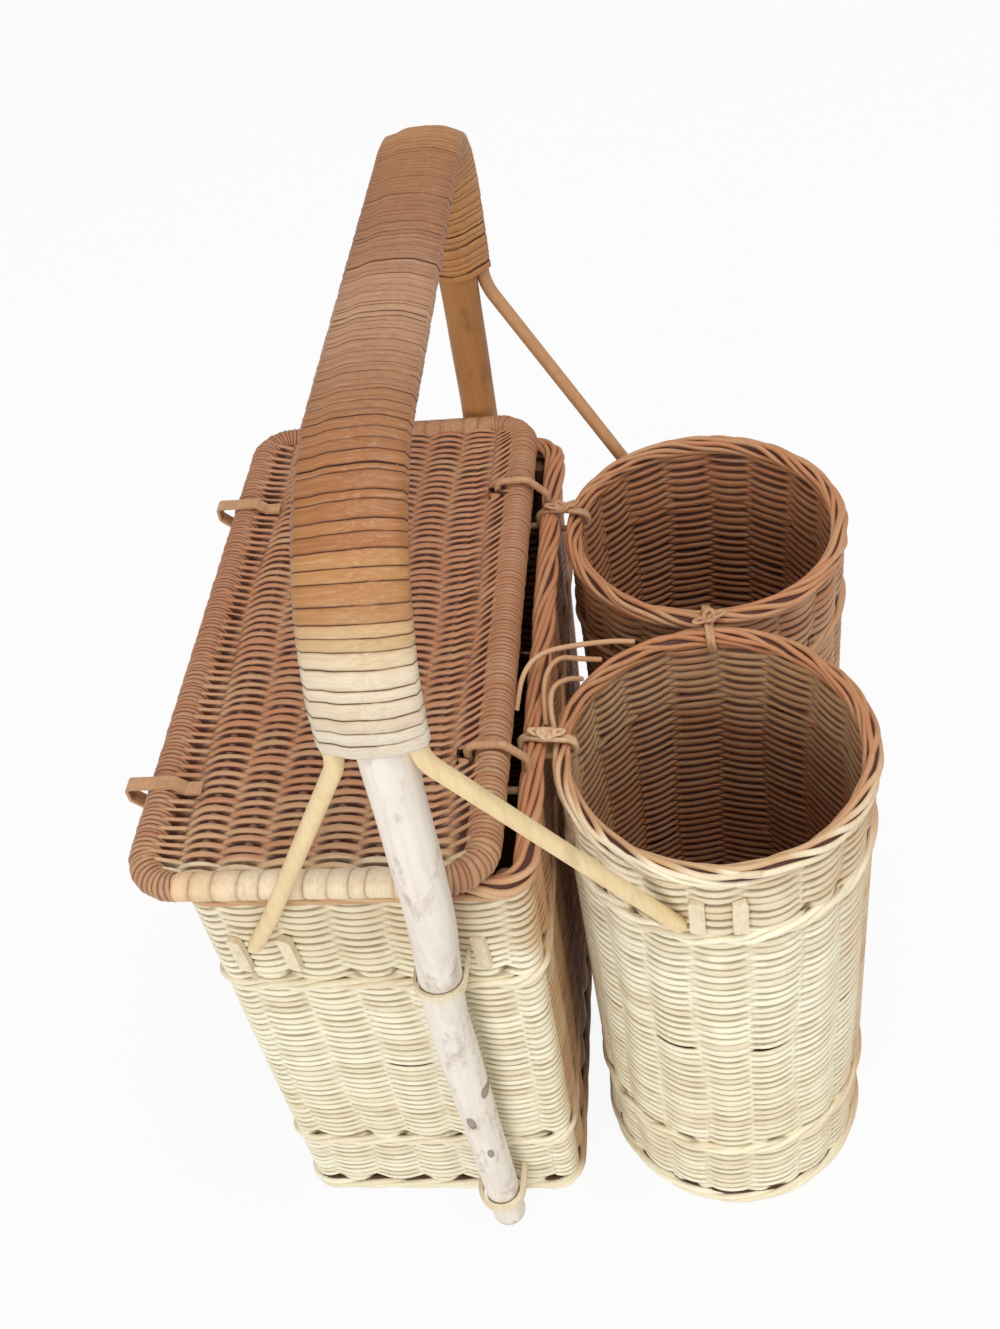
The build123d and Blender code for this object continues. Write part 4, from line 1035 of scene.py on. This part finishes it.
class BASKET_OT_handle(bpy.types.Operator):
    """Wind the grip with flat cane and finish the pole and the thin rods"""

    bl_idname = "basket.handle"
    bl_label = "Bind Handle"

    def execute(self, context):
        colours = context.scene.basket_colours
        sizes = context.scene.basket_handle
        self.grip(sizes)
        self.pole(sizes, colours)
        rods = rod_look("rattan_rod", colours.strut, colours.far_strut, 0.4)
        for name in ("handle_left_rod", "handle_right_rod", "lid_frame"):
            dress(name, rods)
        return {"FINISHED"}

    def grip(self, sizes):
        """Turns of flat cane: the hull of the pole and the rods carried along the arch, with a crown
        on each turn, and each turn tilted by the sine of a random walk."""
        corners = [
            arch_point(-ARCH_SPAN, WRAP_NEAR),
            arch_point(-ARCH_SPAN, ARCH_NEAR),
            arch_point(ARCH_SPAN, ARCH_FAR),
            arch_point(ARCH_SPAN, WRAP_FAR),
        ]
        fine, along = bent_route(corners, (NEAR_BEND, FAR_BEND), 0.8 * MM)
        total = along[-1]
        widths = [(0.0, 1.45 * sizes.cane), (0.16, 1.3 * sizes.cane), (0.3, sizes.cane), (1.0, sizes.cane)]
        place, number, crown, seam, tone = wound_turns(total, widths, 0.6, 0.16, 90)
        section = hull_section(48)
        around = circle(len(section))
        route = at_places(fine, along, place)
        ahead = at_places(directions(fine), along, place)
        thick = np.cross(ARCH_NORMAL[None], ahead)
        raised = sizes.crown * crown - WRAP_THICK * seam + 0.22 * MM * tone
        shape = section + unit(section) * raised[:, None, None]
        turns = number.max() + 1
        tilts = 0.5 * MM * np.sin(np.cumsum(np.random.default_rng(91).normal(0, 0.25, turns + 1)))
        tilt = np.interp((place - place[0]) / total * turns, np.arange(len(tilts)), tilts)
        settle = ramp(place, 0, 6 * MM) * ramp(total - place, 0, 6 * MM)
        wobble = (tilt * settle)[:, None] * np.cos(around)
        centre = route[:, None] + ahead[:, None] * wobble[..., None]
        grid = centre + shape[..., :1] * ARCH_NORMAL + shape[..., 1:] * thick[:, None]
        # Painted shade: each turn darkens towards its edges, more near the near end, and a gaping seam more.
        dark = (1.15 - 0.3 * ramp(place, 0.07, 0.12)) * (1 - crown) ** 2 + seam
        share = place / total
        attributes = cane_values(np.sin(around / 2), dark=dark, tone=tone, share=share, along=place)
        nodes = ("handle_wrap",)
        material = self.grip_look()
        grid_piece("handle_grip_turns", "basket", material, [grid], attributes, nodes, CAPPED)

    def grip_look(self):
        """Cane that is pale at the near end, where it faces the front, partly bleaching and partly painted
        light; brown on top and tan at the far end.
        """
        stops = [
            (0.0, (0.76, 0.67, 0.53)),
            (0.06, (0.74, 0.61, 0.43)),
            (0.095, (0.60, 0.40, 0.20)),
            (0.125, (0.46, 0.22, 0.075)),
            (0.16, (0.38, 0.155, 0.047)),
            (0.24, (0.37, 0.155, 0.058)),
            (0.30, (0.39, 0.185, 0.088)),
            (0.42, (0.50, 0.28, 0.16)),
            (0.56, (0.35, 0.15, 0.065)),
            (0.72, (0.36, 0.15, 0.052)),
            (0.84, (0.56, 0.28, 0.10)),
            (1.0, (0.52, 0.24, 0.08)),
        ]
        return cane_look("grip_cane", stops)

    def pole(self, sizes, colours):
        """The pole: a circle carried from foot to foot, thinner at the feet, with low swellings."""
        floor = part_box("handle_pole")[0].z
        corners = self.leg(-1, floor) + [arch_point(-ARCH_SPAN, ARCH_NEAR)]
        corners += [arch_point(ARCH_SPAN, ARCH_FAR)] + self.leg(1, floor)[::-1]
        leg_bend = 0.150
        bends = (leg_bend, leg_bend, NEAR_BEND, FAR_BEND, leg_bend, leg_bend)
        route, along = bent_route(corners, bends, 2.5 * MM)
        z = route[:, 2]
        foot = sizes.pole_foot / 2
        waist = 8.1 * MM
        top = sizes.pole_top / 2
        radius = foot + (waist - foot) * ramp(z, 0.0, 0.2) + (top - waist) * ramp(z, 0.235, 0.33)
        hidden = 8.6 * MM - 0.80 * MM * ramp(z, 0.355, 0.366)
        radius = np.where(z > WRAP_FAR, np.minimum(radius, hidden), radius)
        radius = radius * (1 + 0.012 * np.sin(along * 55) + 0.008 * np.sin(along * 131))
        grid = tube(route, radius, 28, up=ARCH_NORMAL)
        knots = [
            (-0.0290, 0.1110, 0.0024, 0.0062),
            (-0.0207, 0.1315, 0.0016, 0.0050),
            (-0.0254, 0.0807, 0.0016, 0.0045),
        ]
        skin = rod_look("rattan_pole", colours.pole, colours.pole_brown, 0.95, knots)
        grid_piece("handle_bent_pole", "basket", skin, [grid], {}, ("handle_pole",), CAPPED)

    def leg(self, side, floor):
        """Return the corners of one leg's route, from its foot past the upper loop to the arch."""
        foot = (-28.35 * MM, side * 125.85 * MM, floor)
        bend = (-27.35 * MM, side * 132.48 * MM, 0.190)
        return [foot, bend, arch_point(side * ARCH_SPAN, ARCH_FOOT)]


def dress(node, material):
    """Give a node of the frame its material."""
    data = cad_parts[node].data
    data.materials.clear()
    data.materials.append(material)


class BASKET_OT_trim(bpy.types.Operator):
    """Finish the cane loops, ties and hasps, the sticks, posts and bases"""

    bl_idname = "basket.trim"
    bl_label = "Finish Trim"

    def execute(self, context):
        colours = context.scene.basket_colours
        cane = strap_look("strap_cane", colours.strap, colours.strap_streak)
        pale = strap_look("pale_strap_cane", colours.pale_strap, colours.pale_streak)
        sticks = rod_look("inner_sticks", colours.inside, colours.far_inside, 0.5)
        self.hinge_loops(cane)
        light = strap_look("tie_cane", colours.tie, colours.tie_streak)
        for name, axis, material, seed in (
            ("near_tie", 0, light, 95),
            ("far_tie", 0, cane, 96),
            ("bottle_tie", 1, cane, 97),
        ):
            self.knotted_tie(name, axis, material, seed)
        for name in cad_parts:
            if "staples" in name or "pole" in name and "loop" in name:
                dress(name, pale if name.startswith("near") else cane)
            elif name.endswith("_hasp"):
                dress(name, cane)
            elif name.endswith(("_sticks", "_posts", "_base")):
                dress(name, sticks)
        return {"FINISHED"}

    def hinge_loops(self, material):
        """Each loop of the hinge, wrapped in thin cane: its radius is a low rib for each turn."""
        radius = 1.5 * MM
        for name in ("near_hinge_loop", "far_hinge_loop"):
            low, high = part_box(name)
            left = low.x + radius
            right = high.x - radius
            top = high.z - radius
            bottom = low.z + radius
            corners = [(left, LID_LEVEL), (left, top), (LID_RIGHT + 5.1 * MM, top), (right, LID_LEVEL)]
            corners += [(right, bottom), (LID_RIGHT, bottom), (left, 2 * LID_LEVEL - top), (left, LID_LEVEL)]
            corners = [(x, centre_of(name, 1), z) for x, z in corners]
            route, along = bent_route(corners, (3.6 * MM,) * 6, 0.55 * MM)
            swell = np.abs(np.sin(math.pi * along / (2.2 * MM)))
            grid = tube(route[:-1], (radius + 0.15 * MM * swell)[:-1], 10, up=(0, 1, 0), closed=True)
            grid_piece(f"{name}_cane", "basket", material, [grid], {}, (name,))

    def knotted_tie(self, name, axis, material, seed):
        """Three turns of cane round both rims, crossed over the top, with a knot and two short ends.
        A turn is a squared oval, cos and sin to the power of 0.7."""
        chance = np.random.default_rng(seed)
        low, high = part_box(name)
        centre = np.array(low + high) / 2
        strand = 1.1 * MM
        half = (high[axis] - low[axis]) / 2 - strand
        height = (high.z - low.z) / 2 - strand
        turn = circle(48)
        across, rise = (np.sign(wave) * np.abs(wave) ** 0.7 for wave in (np.cos(turn), np.sin(turn)))
        ahead, aside, upward = np.eye(3)[[axis, 1 - axis, 2]]
        grids = []
        for number in range(3):
            lean = (number - 1) * 1.7 * MM
            shift = lean * np.cos(turn + number) + 0.4 * MM * np.sin(3 * turn + seed)
            route = centre + (across * (half - 0.4 * MM * number))[:, None] * ahead
            route = route + shift[:, None] * aside
            route = route + (rise * (height + 0.5 * MM * (number - 1)))[:, None] * upward
            grids.append(tube(route, strand, 8, up=aside, closed=True))
        top = centre + (height + strand) * upward
        for number in range(2):
            spread = 2.4 * MM + 0.8 * MM * number
            tilt = chance.uniform(0, math.pi)
            wide = np.cos(turn) * spread
            deep = np.sin(turn) * spread * 0.7
            x = wide * math.cos(tilt) - deep * math.sin(tilt)
            y = wide * math.sin(tilt) + deep * math.cos(tilt)
            z = 0.9 * MM * number + 0.8 * MM * np.sin(2 * turn + number)
            grids.append(tube(top + np.stack([x, y, z], axis=-1), strand * 0.95, 8, closed=True, flat=0.7))
        for side in (-1, 1):
            reach = chance.uniform(6, 8) * MM
            angle = chance.uniform(-0.6, 0.6) + (0 if side > 0 else math.pi)
            heading = np.array([math.cos(angle), math.sin(angle), 0.25])
            beyond = np.array([-math.sin(angle), math.cos(angle), 0])
            loop = (1 - np.cos(turn))[:, None] / 2 * reach * heading
            loop = loop + np.sin(turn)[:, None] * 1.2 * MM * beyond
            grids.append(tube(top + loop, strand * 0.8, 8, closed=True, flat=0.6))
        grid_piece(f"{name}_knot", "basket", material, grids, {}, (name,))


class BASKET_OT_stage(bpy.types.Operator):
    """Set the floor, the light and the camera"""

    bl_idname = "basket.stage"
    bl_label = "Set Stage"

    def execute(self, context):
        scene = context.scene
        scene.view_settings.view_transform = "Standard"
        far = 6.0
        mesh = bpy.data.meshes.new("floor")
        mesh.from_pydata([(-far, -far, 0), (far, -far, 0), (far, far, 0), (-far, far, 0)], [], [(0, 1, 2, 3)])
        floor = bpy.data.objects.new("floor", mesh)
        scene.collection.objects.link(floor)
        mesh.materials.append(self.floor_look())
        world = bpy.data.worlds.new("studio")
        world.use_nodes = True
        background = world.node_tree.nodes["Background"]
        background.inputs["Color"].default_value = (1, 1, 1, 1)
        background.inputs["Strength"].default_value = 0.58
        scene.world = world
        self.lamp("front_lamp", (-0.5, -2.4, 0.9), (0, 0, 0.15), 1.4, 25)
        self.lamp("top_lamp", (0.5, -0.3, 2.2), (0, 0, 0.2), 1.0, 19)
        self.camera(scene)
        return {"FINISHED"}

    def floor_look(self):
        """White to the camera but for a soft shadow, with a painted dark brown shadow under the basket and
        in a strip behind the gap between the hamper and the far bottle, where the floor does not glow.
        """
        look = Look("floor_white")
        _, (x, y, _) = look.places()
        from_x = (x - 0.012).maths("ABSOLUTE")
        from_y = y.maths("ABSOLUTE")
        beneath = (1.0 - from_x.span(0.115, 0.130)) * (1.0 - from_y.span(0.112, 0.125))
        behind = (1.0 - (x + 0.001).maths("ABSOLUTE").span(0.020, 0.034)) * y.span(0.08, 0.11)
        behind = behind * (1.0 - y.span(0.27, 0.34))
        shade = (beneath + behind).clamp()
        # Painted shadow: beneath and behind, the floor is dark brown and kept from glowing.
        base = look.mix(shade, (0.74, 0.74, 0.74), (0.22, 0.17, 0.13))
        look.set(Base_Color=base, Roughness=0.9, Specular_IOR_Level=0.1)
        kinds = ("Is Camera Ray", "Is Glossy Ray", "Is Transmission Ray")
        camera, glossy, transmission = (look.node("ShaderNodeLightPath", {}, (), kind) for kind in kinds)
        path = (camera + glossy + transmission).clamp()
        glow = look.node("ShaderNodeEmission", {}, {"Color": (1, 1, 1), "Strength": 1.0})
        share = path * (1.0 - shade) * 0.92
        shaded = Wire(look, look.shader.outputs[0])
        mixed = look.node("ShaderNodeMixShader", {}, {0: share, 1: shaded, 2: glow})
        look.tree.links.new(mixed.socket, look.tree.nodes["Material Output"].inputs["Surface"])
        return look.material

    def lamp(self, name, place, target, size, power):
        """Add a square lamp that faces a target."""
        data = bpy.data.lights.new(name, "AREA")
        data.size = size
        data.energy = power
        lamp = bpy.data.objects.new(name, data)
        lamp.location = place
        lamp.rotation_euler = (Vector(target) - Vector(place)).to_track_quat("-Z", "Y").to_euler()
        bpy.context.scene.collection.objects.link(lamp)

    def camera(self, scene):
        """Add the camera, whose place, axes, lens and shift are solved from the photo's edges."""
        data = bpy.data.cameras.new("camera")
        data.sensor_width = 36
        data.lens = 39.24
        data.shift_x = -0.0115
        data.shift_y = -0.0543
        data.clip_start = 0.01
        camera = bpy.data.objects.new("camera", data)
        right = (0.9897, 0.06452, -0.12779)
        up = (0.04785, 0.69228, 0.72004)
        back = (0.13492, -0.71874, 0.68206)
        place = (0.07895, -0.4114, 0.6689)
        rows = [(right[axis], up[axis], back[axis], place[axis]) for axis in range(3)]
        camera.matrix_world = Matrix(rows + [(0, 0, 0, 1)])
        scene.collection.objects.link(camera)
        scene.camera = camera


class BASKET_PT_panel(bpy.types.Panel):
    """Lists the basket's steps"""

    bl_label = "Picnic Basket"
    bl_idname = "BASKET_PT_panel"
    bl_space_type = "VIEW_3D"
    bl_region_type = "UI"
    bl_category = "Basket"

    def draw(self, context):
        scene = context.scene
        for group in (scene.basket_weave, scene.basket_handle, scene.basket_colours):
            for key in group.bl_rna.properties.keys():
                if key not in ("name", "rna_type"):
                    self.layout.prop(group, key)
        for step in STEPS:
            self.layout.operator(step.bl_idname)


STEPS = (BASKET_OT_walls, BASKET_OT_borders, BASKET_OT_lid, BASKET_OT_handle, BASKET_OT_trim, BASKET_OT_stage)
GROUPS = (WeaveSizes, HandleSizes, RattanColours)
CLASSES = GROUPS + STEPS + (BASKET_PT_panel,)


def register():
    for item in CLASSES:
        bpy.utils.register_class(item)
    bpy.types.Scene.basket_weave = PointerProperty(type=WeaveSizes)
    bpy.types.Scene.basket_handle = PointerProperty(type=HandleSizes)
    bpy.types.Scene.basket_colours = PointerProperty(type=RattanColours)


def unregister():
    del bpy.types.Scene.basket_weave
    del bpy.types.Scene.basket_handle
    del bpy.types.Scene.basket_colours
    for item in reversed(CLASSES):
        bpy.utils.unregister_class(item)


def main():
    """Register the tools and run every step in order."""
    register()
    bpy.ops.basket.walls()
    bpy.ops.basket.borders()
    bpy.ops.basket.lid()
    bpy.ops.basket.handle()
    bpy.ops.basket.trim()
    bpy.ops.basket.stage()


if __name__ == "__main__":
    main()
